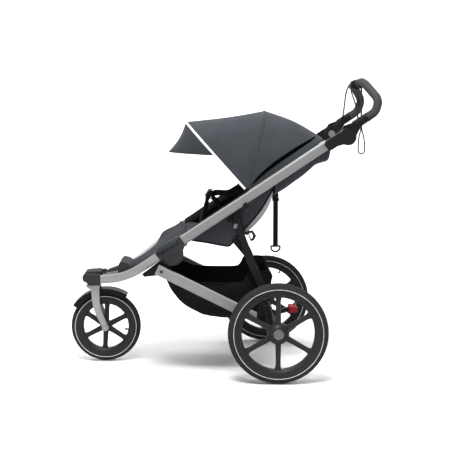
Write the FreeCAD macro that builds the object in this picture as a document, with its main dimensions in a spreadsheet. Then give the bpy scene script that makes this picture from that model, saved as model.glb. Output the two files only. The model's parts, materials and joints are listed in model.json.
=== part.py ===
import FreeCAD, Part
import math
import os
import Sketcher
from FreeCAD import Placement, Rotation, Vector

# Jogging stroller, millimetres, +Z up, front towards -X, left side -Y.
# Origin: on the ground, under the middle of the overall length and width.

DOC = FreeCAD.newDocument("stroller")
SHEET = DOC.addObject("Spreadsheet::Sheet", "dims")

DRIVING = {
    "rear_wheel_rad": 200, "rear_tyre_wide": 47, "rear_rim_rad": 157, "rear_rim_inner": 144,
    "rear_hub_rad": 43, "rear_spoke_wide": 22, "rear_spoke_deep": 16, "cap_rad": 21,
    "front_wheel_rad": 150, "front_tyre_wide": 45, "front_rim_rad": 108, "front_rim_inner": 96,
    "front_hub_rad": 20, "front_spoke_wide": 17, "front_spoke_deep": 14,
    "rear_axle_x": 217.5, "front_axle_x": -495.6, "rear_track_half": 320, "axle_rad": 6,
    "axle_tube_rad": 13, "running_fit": 0.05, "body_gap": 0.5,
    "tube_half_y": 235, "tube_top_half_y": 220, "tube_wall": 2,
    "upper_tube_tall": 40, "upper_tube_wide": 22, "upper_start_x": -167, "upper_start_z": 552,
    "upper_end_x": 422, "upper_end_z": 943,
    "lower_tube_tall": 44, "front_tube_tall": 36,
    "main_hinge_x": -199.5, "main_hinge_z": 497.6, "main_hinge_rad": 42, "hinge_pin_rad": 8,
    "lower_pivot_x": -247, "lower_pivot_z": 430, "lower_pivot_rad": 6,
    "lower_end_x": 158, "lower_end_z": 229.5,
    "strut_half_y": 208, "strut_wide": 26, "strut_thick": 18, "strut_pivot_x": 170, "strut_pivot_z": 326,
    "strut_top_x": 60, "strut_top_z": 674, "strut_pin_rad": 5,
    "swing_pivot_x": 150, "swing_pivot_z": 233, "swing_pin_rad": 5,
    "shock_top_x": 172, "shock_top_z": 318, "shock_low_x": 193, "shock_low_z": 214, "shock_half_y": 276,
    "shock_rad": 17, "shock_top_pin": 6, "shock_low_pin": 5,
    "hub_x": 502.4, "hub_z": 973, "hub_rad": 34, "hub_pin_rad": 7, "hub_button_rad": 15,
    "bar_rad": 12.5, "grip_rad": 17.5,
    "canopy_x": 99, "canopy_z": 752, "canopy_front_angle": 132, "canopy_front_reach": 374,
    "canopy_mid_angle": 75, "canopy_mid_reach": 336, "canopy_rear_angle": 32.5, "canopy_rear_reach": 390,
    "canopy_half_y": 219, "canopy_thick": 3, "bow_rad": 4,
    "bow_inset": 10, "canopy_pin_rad": 5, "canopy_eye_rad": 14,
    "steer_x": -538, "steer_rad": 10, "fabric_thick": 3, "pad_thick": 20,
    "webbing_wide": 22, "webbing_thick": 2.4, "cable_rad": 3.2, "strap_cord_rad": 2.8,
    "basket_half_y": 190, "seat_half_y": 190, "recline_x": 234, "ring_top_z": 495, "ring_wire_rad": 3.8,
}

for row, (alias, value) in enumerate(DRIVING.items(), start=1):
    SHEET.set("A%d" % row, alias)
    SHEET.set("B%d" % row, str(value))
    SHEET.setAlias("B%d" % row, alias)
DOC.recompute()

NODES = []


def size(alias):
    """The value of one named cell."""
    return float(getattr(SHEET, alias))


def keep(obj, label):
    """Names the object as a finished piece."""
    obj.Label = label
    NODES.append((label, obj))
    return obj


# ---------------------------------------------------------------- PartDesign helpers


def origin_part(body, role):
    for feature in body.Origin.OriginFeatures:
        if feature.Role == role:
            return feature
    raise ValueError(role)


def new_body(label, x=0.0, y=0.0, z=0.0, rotation=None, whole=True):
    """A PartDesign body; whole=False when it is one side of a mirrored pair that shares a name."""
    body = DOC.addObject("PartDesign::Body", label)
    body.Placement = Placement(Vector(x, y, z), rotation or Rotation())
    if whole:
        keep(body, label)
    return body


def new_sketch(body, role, offset=0.0):
    sketch = body.newObject("Sketcher::SketchObject", body.Name + "_sketch")
    sketch.AttachmentSupport = [(origin_part(body, role), "")]
    sketch.MapMode = "FlatFace"
    sketch.AttachmentOffset = Placement(Vector(0, 0, offset), Rotation())
    return sketch


def polygon(sketch, points):
    first = sketch.GeometryCount
    count = len(points)
    for i in range(count):
        a = points[i]
        b = points[(i + 1) % count]
        sketch.addGeometry(Part.LineSegment(Vector(a[0], a[1], 0), Vector(b[0], b[1], 0)), False)
    for i in range(count):
        sketch.addConstraint(Sketcher.Constraint("Coincident", first + i, 2, first + (i + 1) % count, 1))


def circle(sketch, x, z, alias, extra=""):
    """A circle whose radius follows a cell, with an optional addition such as '+ dims.running_fit'."""
    radius = size(alias)
    geometry = sketch.addGeometry(Part.Circle(Vector(x, z, 0), Vector(0, 0, 1), radius), False)
    number = sketch.addConstraint(Sketcher.Constraint("Radius", geometry, radius))
    sketch.setExpression("Constraints[%d]" % number, "dims." + alias + extra)


def arcs(sketch, points):
    """A closed run of three-point arcs and lines: each entry is (end point, point on the arc or None)."""
    first = sketch.GeometryCount
    count = len(points)
    for i in range(count):
        a = points[i - 1][0]
        b, via = points[i]
        start = Vector(a[0], a[1], 0)
        end = Vector(b[0], b[1], 0)
        if via is None:
            sketch.addGeometry(Part.LineSegment(start, end), False)
        else:
            sketch.addGeometry(Part.Arc(start, Vector(via[0], via[1], 0), end), False)
    for i in range(count):
        if points[i][1] is None and points[(i + 1) % count][1] is None:
            sketch.addConstraint(Sketcher.Constraint("Coincident", first + i, 2, first + (i + 1) % count, 1))


def pad_side(body, y_from, y_to, draw, length=None):
    """Pads an X-Z profile between two Y positions of the body's own frame."""
    top = max(y_from, y_to)
    sketch = new_sketch(body, "XZ_Plane", -top)
    draw(sketch)
    pad = body.newObject("PartDesign::Pad", body.Name + "_pad")
    pad.Profile = sketch
    pad.Length = abs(y_to - y_from)
    if length:
        pad.setExpression("Length", length)
    sketch.Visibility = False
    return pad


def pocket_side(body, y_from, y_to, draw):
    """Cuts an X-Z profile between two Y positions of the body's own frame."""
    top = max(y_from, y_to)
    sketch = new_sketch(body, "XZ_Plane", -top)
    draw(sketch)
    pocket = body.newObject("PartDesign::Pocket", body.Name + "_pocket")
    pocket.Profile = sketch
    pocket.Length = abs(y_to - y_from)
    pocket.Reversed = True
    return pocket


def turned(body, draw):
    """Turns a profile about the body's Y axis; sketch x is the radius and sketch y runs along the axis."""
    sketch = new_sketch(body, "XY_Plane")
    draw(sketch)
    turn = body.newObject("PartDesign::Revolution", body.Name + "_turn")
    turn.Profile = sketch
    turn.ReferenceAxis = (sketch, ["V_Axis"])
    turn.Angle = 360
    return turn


# ---------------------------------------------------------------- Part helpers


def cylinder(label, radius_alias, extra, length, x, y, z, direction):
    """A Part cylinder along a direction, its radius bound to a cell."""
    rod = DOC.addObject("Part::Cylinder", label)
    rod.setExpression("Radius", "dims." + radius_alias + extra)
    rod.Height = length
    rod.Placement = Placement(Vector(x, y, z), Rotation(Vector(0, 0, 1), Vector(*direction)))
    return rod


def fused(label, parts):
    """One piece from several Part objects."""
    joined = DOC.addObject("Part::MultiFuse", label)
    joined.Shapes = parts
    return joined


def grouped(label, parts):
    """Separate identical solids that share one name."""
    group = DOC.addObject("Part::Compound", label)
    group.Links = parts
    return group


def cut(label, base, tool):
    result = DOC.addObject("Part::Cut", label)
    result.Base = base
    result.Tool = tool
    return result


def shaped(label, shape):
    """A piece whose form no primitive gives."""
    piece = DOC.addObject("Part::Feature", label)
    piece.Shape = shape
    piece.Placement = Placement(Vector(0, 0, 0), Rotation())
    return keep(piece, label)


def frame_axes(direction, side_hint):
    """Rotation whose Z is the direction and whose Y is nearest to the hint."""
    z = Vector(direction)
    z.normalize()
    y = side_hint - z * side_hint.dot(z)
    y.normalize()
    x = y.cross(z)
    return Rotation(x, y, z, "ZYX")


def oval_wire(centre, along, side_hint, tall, wide):
    """A flattened tube section: tall across the tube's side face, wide along the side hint."""
    z = Vector(along)
    z.normalize()
    y = side_hint - z * side_hint.dot(z)
    y.normalize()
    x = y.cross(z)
    half = wide / 2.0
    straight = tall / 2.0 - half
    a = centre + x * straight + y * half
    b = centre - x * straight + y * half
    c = centre - x * straight - y * half
    d = centre + x * straight - y * half
    left = centre - x * (tall / 2.0)
    right = centre + x * (tall / 2.0)
    edges = [
        Part.LineSegment(a, b).toShape(),
        Part.Arc(b, left, c).toShape(),
        Part.LineSegment(c, d).toShape(),
        Part.Arc(d, right, a).toShape(),
    ]
    return Part.Wire(edges)


def oval_loft(points, side_hint, tall, wide):
    """A flattened tube through a run of points, blended from section to section."""
    sections = []
    for i, point in enumerate(points):
        before = points[max(i - 1, 0)]
        after = points[min(i + 1, len(points) - 1)]
        sections.append(oval_wire(point, after - before, side_hint, tall, wide))
    return Part.makeLoft(sections, True, False)


def round_loft(points, radius):
    """A round rod blended through a run of points."""
    sections = []
    for i, point in enumerate(points):
        along = points[min(i + 1, len(points) - 1)] - points[max(i - 1, 0)]
        sections.append(Part.Wire([Part.Circle(point, along, radius).toShape()]))
    return Part.makeLoft(sections, True, False)


def round_pipe(path, radius):
    """A round rod along a wire."""
    edge = path.Edges[0]
    start = edge.valueAt(edge.FirstParameter)
    tangent = edge.tangentAt(edge.FirstParameter)
    profile = Part.Wire([Part.Circle(start, tangent, radius).toShape()])
    return path.makePipeShell([profile], True, False)


def rounded_route(points, radii):
    """Straight runs joined by tangent arcs; gives the wire and its length, and checks the arc radii."""
    edges = []
    total = 0.0
    last = points[0]
    for i in range(1, len(points) - 1):
        back = points[i - 1] - points[i]
        ahead = points[i + 1] - points[i]
        turn = math.pi - back.getAngle(ahead)
        cut_back = radii[i - 1] * math.tan(turn / 2.0)
        back.normalize()
        ahead.normalize()
        start = points[i] + back * cut_back
        end = points[i] + ahead * cut_back
        inward = back + ahead
        inward.normalize()
        middle = points[i] + inward * (radii[i - 1] / math.cos(turn / 2.0) - radii[i - 1])
        edges.append(Part.LineSegment(last, start).toShape())
        edges.append(Part.Arc(start, middle, end).toShape())
        total += (start - last).Length + radii[i - 1] * turn
        last = end
    edges.append(Part.LineSegment(last, points[-1]).toShape())
    total += (points[-1] - last).Length
    return Part.Wire(edges), total


def cord(label, points, radius):
    """A cord along a route; each arc takes 0.45 of the shorter run beside it."""
    radii = []
    for i in range(1, len(points) - 1):
        back = points[i - 1] - points[i]
        ahead = points[i + 1] - points[i]
        turn = math.pi - back.getAngle(ahead)
        radii.append(0.45 * min(back.Length, ahead.Length) / math.tan(turn / 2.0))
    route, length = rounded_route(points, radii)
    tube = round_pipe(route, radius)
    expected = math.pi * radius ** 2 * length
    print(label, "length %.0f mm, arc radii" % length, [round(r) for r in radii],
          "volume share %.3f" % (tube.Volume / expected))
    return shaped(label, tube)


def side_name(side):
    return "right" if side > 0 else "left"


def plate(outline, low, thick):
    """A flat plate of an X-Z outline that starts at Y = low."""
    wire = Part.makePolygon([Vector(x, 0, z) for x, z in outline + outline[:1]])
    slab = Part.Face(wire).extrude(Vector(0, thick, 0))
    slab.translate(Vector(0, low, 0))
    return slab


def cross_rod(radius, x, z, low, length):
    """A round rod along Y that starts at Y = low."""
    return Part.makeCylinder(radius, length, Vector(x, low, z), Vector(0, 1, 0))


def upper_tube_ends(side):
    """Both ends of an upper tube's centre line."""
    start = Vector(size("upper_start_x"), side * size("tube_half_y"), size("upper_start_z"))
    end = Vector(size("upper_end_x"), side * size("tube_top_half_y"), size("upper_end_z"))
    return start, end


def tube_room(start, end, tall_alias):
    """The space a straight frame tube takes up, to be cut from the castings around it."""
    sections = []
    wide = size("upper_tube_wide")
    for point in (start, end):
        sections.append(oval_wire(point, end - start, Vector(0, 1, 0), size(tall_alias), wide))
    return Part.makeLoft(sections, True)


# ---------------------------------------------------------------- rear wheels


def rear_tyre(side):
    rad = size("rear_wheel_rad")
    seat = size("rear_rim_rad")
    half = size("rear_tyre_wide") / 2.0
    body = new_body("rear_tyre_" + side_name(side), size("rear_axle_x"), side * size("rear_track_half"), rad)
    shoulder = rad - 11
    bead = half - 8
    wall = half - 5

    def draw(sketch):
        arcs(sketch, [
            ((seat, -bead), None),
            ((shoulder, -wall), (seat + 16, -half)),
            ((shoulder, wall), (rad, 0)),
            ((seat, bead), (seat + 16, half)),
        ])

    turned(body, draw)


def rear_rim(side):
    rad = size("rear_wheel_rad")
    outer = size("rear_rim_rad")
    inner = size("rear_rim_inner")
    half = size("rear_tyre_wide") / 2.0 - 8
    wide = size("rear_spoke_wide") / 2.0
    body = new_body("rear_rim_" + side_name(side), size("rear_axle_x"), side * size("rear_track_half"), rad)
    deep = size("rear_spoke_deep") / 2.0
    reach = inner + 3

    def bar(sketch):
        polygon(sketch, [(-wide + 1, -reach), (wide - 1, -reach), (wide + 1, 0), (wide - 1, reach),
                         (-wide + 1, reach), (-wide - 1, 0)])

    spoke = pad_side(body, -deep, deep, bar, "dims.rear_spoke_deep")
    DOC.recompute()
    pattern = body.newObject("PartDesign::PolarPattern", body.Name + "_spokes")
    pattern.Originals = [spoke]
    pattern.Axis = (origin_part(body, "Y_Axis"), [""])
    pattern.Angle = 120
    pattern.Occurrences = 3
    body.Tip = pattern
    DOC.recompute()

    def ring(sketch):
        polygon(sketch, [(inner, -half + 4), (outer, -half), (outer, half), (inner, half - 4)])

    turned(body, ring)
    # The hub stands out on both sides; its outer face has the recess of the release button.
    face = half + 8
    back = -face
    bore_rad = size("axle_rad") + size("running_fit")
    hub_rad = size("rear_hub_rad")
    recess_rad = size("cap_rad") + size("body_gap")

    def hub(sketch):
        polygon(sketch, [(bore_rad, back), (26, back), (hub_rad - 9, back + 8), (hub_rad, -deep),
                         (hub_rad, deep), (hub_rad - 9, face), (recess_rad, face), (recess_rad, face - 9),
                         (bore_rad, face - 9)])

    turned(body, hub)

    def bore(sketch):
        circle(sketch, 0, 0, "axle_rad", " + dims.running_fit")

    pocket_side(body, -60, face - 9, bore)

    def recess(sketch):
        circle(sketch, 0, 0, "cap_rad", " + dims.body_gap")

    pocket_side(body, face - 9, face + 2, recess)
    if side < 0:
        body.Placement = Placement(body.Placement.Base, Rotation(Vector(0, 0, 1), 180))


def wheel_cap(side):
    """The round release button in the hub's recess."""
    face = size("rear_tyre_wide") / 2.0
    body = new_body("wheel_cap_" + side_name(side), size("rear_axle_x"), side * size("rear_track_half"),
                    size("rear_wheel_rad"))
    if side < 0:
        body.Placement = Placement(body.Placement.Base, Rotation(Vector(0, 0, 1), 180))

    def disc(sketch):
        polygon(sketch, [(0, face - 4), (size("cap_rad"), face - 4), (size("cap_rad"), face),
                         (size("cap_rad") - 2, face + 1.5), (0, face + 1.5)])

    turned(body, disc)


# ---------------------------------------------------------------- front wheel


def front_tyre():
    rad = size("front_wheel_rad")
    seat = size("front_rim_rad")
    half = size("front_tyre_wide") / 2.0
    body = new_body("front_tyre", size("front_axle_x"), 0, rad)

    def draw(sketch):
        arcs(sketch, [
            ((seat, -half + 8), None),
            ((rad - 11, -half + 5), (seat + 16, -half)),
            ((rad - 11, half - 5), (rad, 0)),
            ((seat, half - 8), (seat + 16, half)),
        ])

    turned(body, draw)


def front_rim():
    rad = size("front_wheel_rad")
    outer = size("front_rim_rad")
    inner = size("front_rim_inner")
    half = size("front_tyre_wide") / 2.0 - 8
    wide = size("front_spoke_wide") / 2.0
    deep = size("front_spoke_deep") / 2.0
    lean = 3.0
    body = new_body("front_rim", size("front_axle_x"), 0, rad, Rotation(Vector(0, 1, 0), lean))
    reach = inner + 3

    def bar(sketch):
        polygon(sketch, [(-wide + 1, -reach), (wide - 1, -reach), (wide + 1, 0), (wide - 1, reach),
                         (-wide + 1, reach), (-wide - 1, 0)])

    spoke = pad_side(body, -deep, deep, bar, "dims.front_spoke_deep")
    DOC.recompute()
    pattern = body.newObject("PartDesign::PolarPattern", body.Name + "_spokes")
    pattern.Originals = [spoke]
    pattern.Axis = (origin_part(body, "Y_Axis"), [""])
    pattern.Angle = 120
    pattern.Occurrences = 3
    body.Tip = pattern
    DOC.recompute()

    def ring(sketch):
        polygon(sketch, [(inner, -half + 4), (outer, -half), (outer, half), (inner, half - 4)])

    turned(body, ring)
    bore_rad = size("axle_rad") + size("running_fit")

    hub_rad = size("front_hub_rad")

    def hub(sketch):
        polygon(sketch, [(bore_rad, -31), (14, -31), (hub_rad, -20),
                         (hub_rad, 20), (14, 31), (bore_rad, 31)])

    turned(body, hub)

    def bore(sketch):
        circle(sketch, 0, 0, "axle_rad", " + dims.running_fit")

    pocket_side(body, -60, 60, bore)


def front_axle():
    """Axle between the fork tips, with a nut outside each tip."""
    x = size("front_axle_x")
    z = size("front_wheel_rad")
    rod = cylinder("axle_rod", "axle_rad", "", 98, x, -49, z, (0, 1, 0))
    nuts = []
    for side in (-1, 1):
        nut = cylinder("axle_nut", "axle_rad", " + 4", 5, x, 44 if side > 0 else -49, z, (0, 1, 0))
        nuts.append(nut)
    keep(fused("front_axle", [rod] + nuts), "front_axle")


# ---------------------------------------------------------------- fork and fender


def fork_crown():
    """Dark crown under the head, with the steering stem standing on it."""
    body = new_body("fork_crown", size("steer_x"), 0, 0)

    def block(sketch):
        polygon(sketch, [(-24, 318), (17, 318), (21, 334), (-37, 334), (-37, 328)])

    pad_side(body, -50, 50, block)

    sketch = new_sketch(body, "XY_Plane", 330)
    circle(sketch, 0, 0, "steer_rad")
    stem = body.newObject("PartDesign::Pad", body.Name + "_stem")
    stem.Profile = sketch
    stem.Length = 48


def blade_points():
    """Centre line of a fork blade in the X-Z plane."""
    return [(-538, 319), (-536, 276), (-528, 229), (-513, 191),
            (size("front_axle_x") - 1, size("front_wheel_rad"))]


def fork_blades():
    """Two flat, bent blades, wider at the top, each with a ring around the axle."""
    solids = []
    thick = 9.8
    axle_x = size("front_axle_x")
    axle_z = size("front_wheel_rad")
    for side in (-1, 1):
        y = side * 39.0
        sections = []
        line = blade_points()
        widths = [36, 34, 31, 28, 24]
        for i, (x, z) in enumerate(line):
            before = line[max(i - 1, 0)]
            after = line[min(i + 1, len(line) - 1)]
            along = Vector(after[0] - before[0], 0, after[1] - before[1])
            sections.append(oval_wire(Vector(x, y, z), along, Vector(0, 1, 0), widths[i], thick))
        blade = Part.makeLoft(sections, True, False)
        ring = cross_rod(14, axle_x, axle_z, y - thick / 2, thick)
        bore = cross_rod(size("axle_rad"), axle_x, axle_z, y - 15, 30)
        blade = blade.fuse(ring).cut(bore).removeSplitter()
        solids.append(blade)
    shaped("fork_blades", Part.makeCompound(solids))


def front_fender():
    """Curved cover over the front tyre with short side skirts, held between the fork blades."""
    x = size("front_axle_x")
    z = size("front_wheel_rad") - 6
    outer = 171.0
    shell = cross_rod(outer, x, z, -33, 66)
    tyre_room = cross_rod(outer - 4, x, z, -30, 60)
    skirt_room = cross_rod(outer - 22, x, z, -40, 80)
    shell = shell.cut(tyre_room).cut(skirt_room)
    a0 = math.radians(57)
    a1 = math.radians(144)
    far = 400
    wedge = Part.makePolygon([
        Vector(x, -60, z),
        Vector(x + far * math.cos(a0), -60, z + far * math.sin(a0)),
        Vector(x, -60, z + far * 1.6),
        Vector(x + far * math.cos(a1), -60, z + far * math.sin(a1)),
        Vector(x, -60, z)])
    keep_part = Part.Face(wedge).extrude(Vector(0, 120, 0))
    shaped("front_fender", shell.common(keep_part))


# ---------------------------------------------------------------- steering head, footrest


def steering_head():
    """Dark head block with its top cover and the bearing hole of the stem."""
    body = new_body("steering_head", size("steer_x"), 0, 0)

    def block(sketch):
        polygon(sketch, [(-50, 345), (-38, 335), (20, 335), (24, 344), (24, 382), (-46, 384), (-53, 372)])

    pad_side(body, -64, 64, block)

    def cover(sketch):
        polygon(sketch, [(-46, 383), (24, 381), (26, 402), (18, 404), (-32, 398), (-44, 392)])

    pad_side(body, -62, 62, cover)

    def ear(sketch):
        polygon(sketch, [(23, 378), (46, 379), (49, 390), (40, 398), (23, 400)])

    pad_side(body, 11.5, 16, ear)
    pad_side(body, -16, -11.5, ear)

    def knob_pin(sketch):
        circle(sketch, 37, 388, "lower_pivot_rad", " / 2")

    pad_side(body, -12, 12, knob_pin)
    sketch = new_sketch(body, "XY_Plane", 380)
    circle(sketch, 0, 0, "steer_rad", " + dims.running_fit")
    well = body.newObject("PartDesign::Pocket", body.Name + "_well")
    well.Profile = sketch
    well.Length = 46


def swivel_lock():
    """Round knob behind the head that locks the front wheel straight."""
    body = new_body("swivel_lock", size("steer_x") + 37, 0, 388)

    def knob(sketch):
        polygon(sketch, [(-9, -4), (-4, -9), (4, -9), (9, -4), (9, 4), (4, 9), (-4, 9), (-9, 4)])
        circle(sketch, 0, 0, "lower_pivot_rad", " / 2 + dims.running_fit")

    pad_side(body, -11, 11, knob)


def footrest():
    """Foot bar between the front tubes and the strip that runs on to the head."""
    body = new_body("footrest")

    def lump(sketch):
        polygon(sketch, [(-438, 392), (-430, 386), (-380, 384), (-368, 398), (-372, 416), (-398, 436),
                         (-422, 441), (-434, 430)])

    pad_side(body, -78, 78, lump)

    def strip(sketch):
        polygon(sketch, [(-486, 386), (-430, 396), (-430, 414), (-486, 394)])

    pad_side(body, -26, 26, strip)


def leg_rest():
    """Leg rest cloth between the seat front and the foot bar."""
    line = [(-372, 424), (-298, 466), (-262, 497), (-212, 535), (-170, 561)]
    halves = [96, 138, 150, 160, 168]
    thick = size("fabric_thick") * 2
    sections = []
    for (x, z), half in zip(line, halves):
        sections.append(Part.makePolygon([
            Vector(x, -half, z), Vector(x, half, z), Vector(x, half, z + thick), Vector(x, -half, z + thick),
            Vector(x, -half, z)]))
    shaped("leg_rest", Part.makeLoft(sections, True, True))


# ---------------------------------------------------------------- straight and bent frame tubes


def straight_tube(label, start, end, tall_alias, wide_alias, side):
    """A hollow flattened tube from start to end, its section bound to cells."""
    along = end - start
    body = new_body(label, start.x, start.y, start.z, frame_axes(along, Vector(0, side, 0)), whole=False)
    tall = size(tall_alias)
    wide = size(wide_alias)
    wall = size("tube_wall")

    def oval(sketch, big, small):
        half = small / 2.0
        run = big / 2.0 - half
        arcs(sketch, [((run, half), (big / 2.0, 0)), ((-run, half), None), ((-run, -half), (-big / 2.0, 0)),
                      ((run, -half), None)])

    sketch = new_sketch(body, "XY_Plane")
    oval(sketch, tall, wide)
    oval(sketch, tall - 2 * wall, wide - 2 * wall)
    pad = body.newObject("PartDesign::Pad", body.Name + "_pad")
    pad.Profile = sketch
    pad.Length = along.Length
    return body


def upper_tube(side):
    start, end = upper_tube_ends(side)
    return straight_tube("upper_tube_" + side_name(side), start, end, "upper_tube_tall", "upper_tube_wide",
                         side)


def lower_direction():
    pivot = Vector(size("lower_pivot_x"), 0, size("lower_pivot_z"))
    end = Vector(size("lower_end_x"), 0, size("lower_end_z"))
    along = end - pivot
    along.normalize()
    return pivot, end, along


def lower_tube(side):
    """The lower tube, with the cross hole of its front pivot."""
    pivot, end, along = lower_direction()
    shift = Vector(0, side * size("tube_half_y"), 0)
    start = pivot - along * 20
    body = straight_tube("lower_tube_" + side_name(side), start + shift, end + shift, "lower_tube_tall",
                         "upper_tube_wide", side)
    sketch = new_sketch(body, "XZ_Plane", -60)
    circle(sketch, 0, 20, "lower_pivot_rad")
    hole = body.newObject("PartDesign::Pocket", body.Name + "_hole")
    hole.Profile = sketch
    hole.Length = 120
    hole.Reversed = True
    return body


def front_tube_line(side):
    """Centre line of a front tube, from the main hinge to the head."""
    points = [Vector(-252, 234, 494.5), Vector(-288, 208, 467), Vector(-330, 179, 435),
              Vector(-387, 136, 398.5), Vector(-426, 106, 381), Vector(-465, 78, 369), Vector(-515, 48, 361)]
    return [Vector(p.x, side * p.y, p.z) for p in points]


def front_tube(side):
    """Bent front tube from the main hinge to the steering head."""
    points = front_tube_line(side)
    hint = Vector(0, side, 0)
    tall = size("front_tube_tall")
    wide = size("upper_tube_wide")
    wall = size("tube_wall")
    outer = oval_loft(points, hint, tall, wide)
    inner = oval_loft(points, hint, tall - 2 * wall, wide - 2 * wall)
    tube = outer.cut(inner)
    head_room = Part.makeBox(100, 140, 60, Vector(-514 - 100, -70, 330))
    return tube.cut(head_room)


# ---------------------------------------------------------------- main hinge castings


def upper_knuckles():
    """Casting from the upper tube's end to the outer disc of the main hinge, left and right."""
    solids = []
    x = size("main_hinge_x")
    z = size("main_hinge_z")
    rad = size("main_hinge_rad")
    neck_line = [(x - 22, z + 34), (-184, 552), (-178, 569), (-140, 568), (-132, 548), (-156, 516),
                 (x + 36, z + 6)]
    for side in (-1, 1):
        disc = cross_rod(rad, x, z, 234.5 if side > 0 else -251.5, 17)
        neck = plate(neck_line, 225 if side > 0 else -251.5, 26.5)
        inner_room = cross_rod(rad + 1.0, x, z, 194.5 if side > 0 else -234.5, 40)
        casting = disc.fuse(neck.cut(inner_room))
        start, end = upper_tube_ends(side)
        pin = cross_rod(size("hinge_pin_rad"), x, z, side * size("tube_half_y") - 40, 80)
        solids.append(casting.cut(tube_room(start, end, "upper_tube_tall")).cut(pin).removeSplitter())
    shaped("upper_knuckles", Part.makeCompound(solids))


def front_knuckles():
    """Inner disc of the main hinge, the cup of the front tube, and the plate that carries the lower tube."""
    solids = []
    x = size("main_hinge_x")
    z = size("main_hinge_z")
    rad = size("main_hinge_rad")
    px = size("lower_pivot_x")
    pz = size("lower_pivot_z")
    web_line = [(x - 10, z + 41), (-258, 517), (-272, 505), (-250, 472), (-280, 450), (-326, 416),
                (-317, 405), (px - 8, pz - 18), (px + 14, pz - 14), (px + 20, pz + 8), (x + 6, z - 41)]
    cup_line = [(x - 43, z + 22), (-256, 518), (-272, 505), (-249, 471), (x - 43, z - 14)]
    for side in (-1, 1):
        disc = cross_rod(rad, x, z, 213 if side > 0 else -234, 21)
        web = plate(web_line, 213 if side > 0 else -223, 10)
        cup = plate(cup_line, 213 if side > 0 else -249, 36)
        hub_room = cross_rod(rad + 1.0, x, z, 234 if side > 0 else -274, 40)
        casting = disc.fuse(web).fuse(cup.cut(hub_room))
        hint = Vector(0, side, 0)
        tube = oval_loft(front_tube_line(side), hint, size("front_tube_tall"), size("upper_tube_wide"))
        low = side * size("tube_half_y") - 40
        pin = cross_rod(size("hinge_pin_rad") + size("running_fit"), x, z, low, 80)
        low_pin = cross_rod(size("lower_pivot_rad") + size("running_fit"), px, pz, low, 80)
        solid = casting.cut(tube).cut(pin).cut(low_pin).removeSplitter()
        solids.append(max(solid.Solids, key=lambda s: s.Volume))
    shaped("front_knuckles", Part.makeCompound(solids))


def main_hinge_pins():
    pins = []
    for side in (-1, 1):
        y = 211 if side > 0 else -253
        pins.append(cylinder("main_pin_" + side_name(side), "hinge_pin_rad", "", 42, size("main_hinge_x"), y,
                             size("main_hinge_z"), (0, 1, 0)))
    keep(grouped("main_hinge_pins", pins), "main_hinge_pins")


def lower_pivot_pins():
    pins = []
    for side in (-1, 1):
        y = 211 if side > 0 else -249
        pins.append(cylinder("lower_pin_" + side_name(side), "lower_pivot_rad", "", 38,
                             size("lower_pivot_x"), y, size("lower_pivot_z"), (0, 1, 0)))
    keep(grouped("lower_pivot_pins", pins), "lower_pivot_pins")


# ---------------------------------------------------------------- rear knuckles, struts, swing arms


def rear_knuckles():
    """Casting on the lower tube's end with the tower of the strut and the shock, left and right."""
    pivot, end = lower_direction()[:2]
    solids = []
    tower_line = [(138, 222), (150, 212), (168, 214), (174, 236), (186, 300), (190, 322), (182, 340),
                  (160, 342), (152, 326), (146, 290), (138, 262)]
    for side in (-1, 1):
        tower = plate(tower_line, 222 if side > 0 else -248, 26)
        shift = Vector(0, side * size("tube_half_y"), 0)
        tube = tube_room(pivot + shift, end + shift, "lower_tube_tall")
        shock_pin = cross_rod(size("shock_top_pin"), size("shock_top_x"), size("shock_top_z"),
                              247 if side > 0 else -283, 36)
        strut_pin = cross_rod(size("strut_pin_rad"), size("strut_pivot_x"), size("strut_pivot_z"),
                              196 if side > 0 else -224, 28)
        swing_pin = cross_rod(size("swing_pin_rad"), size("swing_pivot_x"), size("swing_pivot_z"),
                              246 if side > 0 else -266, 20)
        casting = tower.cut(tube).fuse(shock_pin).fuse(strut_pin).fuse(swing_pin).removeSplitter()
        solids.append(max(casting.Solids, key=lambda s: s.Volume))
    shaped("rear_knuckles", Part.makeCompound(solids))


def rear_strut(side):
    """Flat black strut from the rear tower up to the seat frame."""
    sx = size("strut_pivot_x")
    sz = size("strut_pivot_z")
    dx = size("strut_top_x") - sx
    dz = size("strut_top_z") - sz
    long = math.hypot(dx, dz)
    lean = math.degrees(math.atan2(dx, dz))
    body = new_body("rear_strut_" + side_name(side), sx, side * size("strut_half_y"), sz,
                    Rotation(Vector(0, 1, 0), lean), whole=False)
    half = size("strut_wide") / 2.0
    thick = size("strut_thick") / 2.0

    def outline(sketch):
        arcs(sketch, [((half, 0), (0, -half)), ((half, long * 0.55), None), ((half - 3, long), None),
                      ((-half + 3, long), (0, long + half - 3)), ((-half, long * 0.55), None),
                      ((-half, 0), None)])
        circle(sketch, 0, 0, "strut_pin_rad", " + dims.running_fit")

    pad_side(body, -thick, thick, outline, "dims.strut_thick")
    return body


def strut_catch():
    """Rectangular ring behind the left strut that holds the folded frame, with its lug on the strut."""
    body = new_body("strut_catch", 0, -size("strut_half_y"), 0)

    def ring(sketch):
        polygon(sketch, [(113.8, 549), (127, 553), (137, 571), (124, 592), (100.7, 590)])
        polygon(sketch, [(116, 557), (121, 559), (123.5, 571), (117, 583), (108, 581)])

    pad_side(body, -9, 9, ring)


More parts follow.
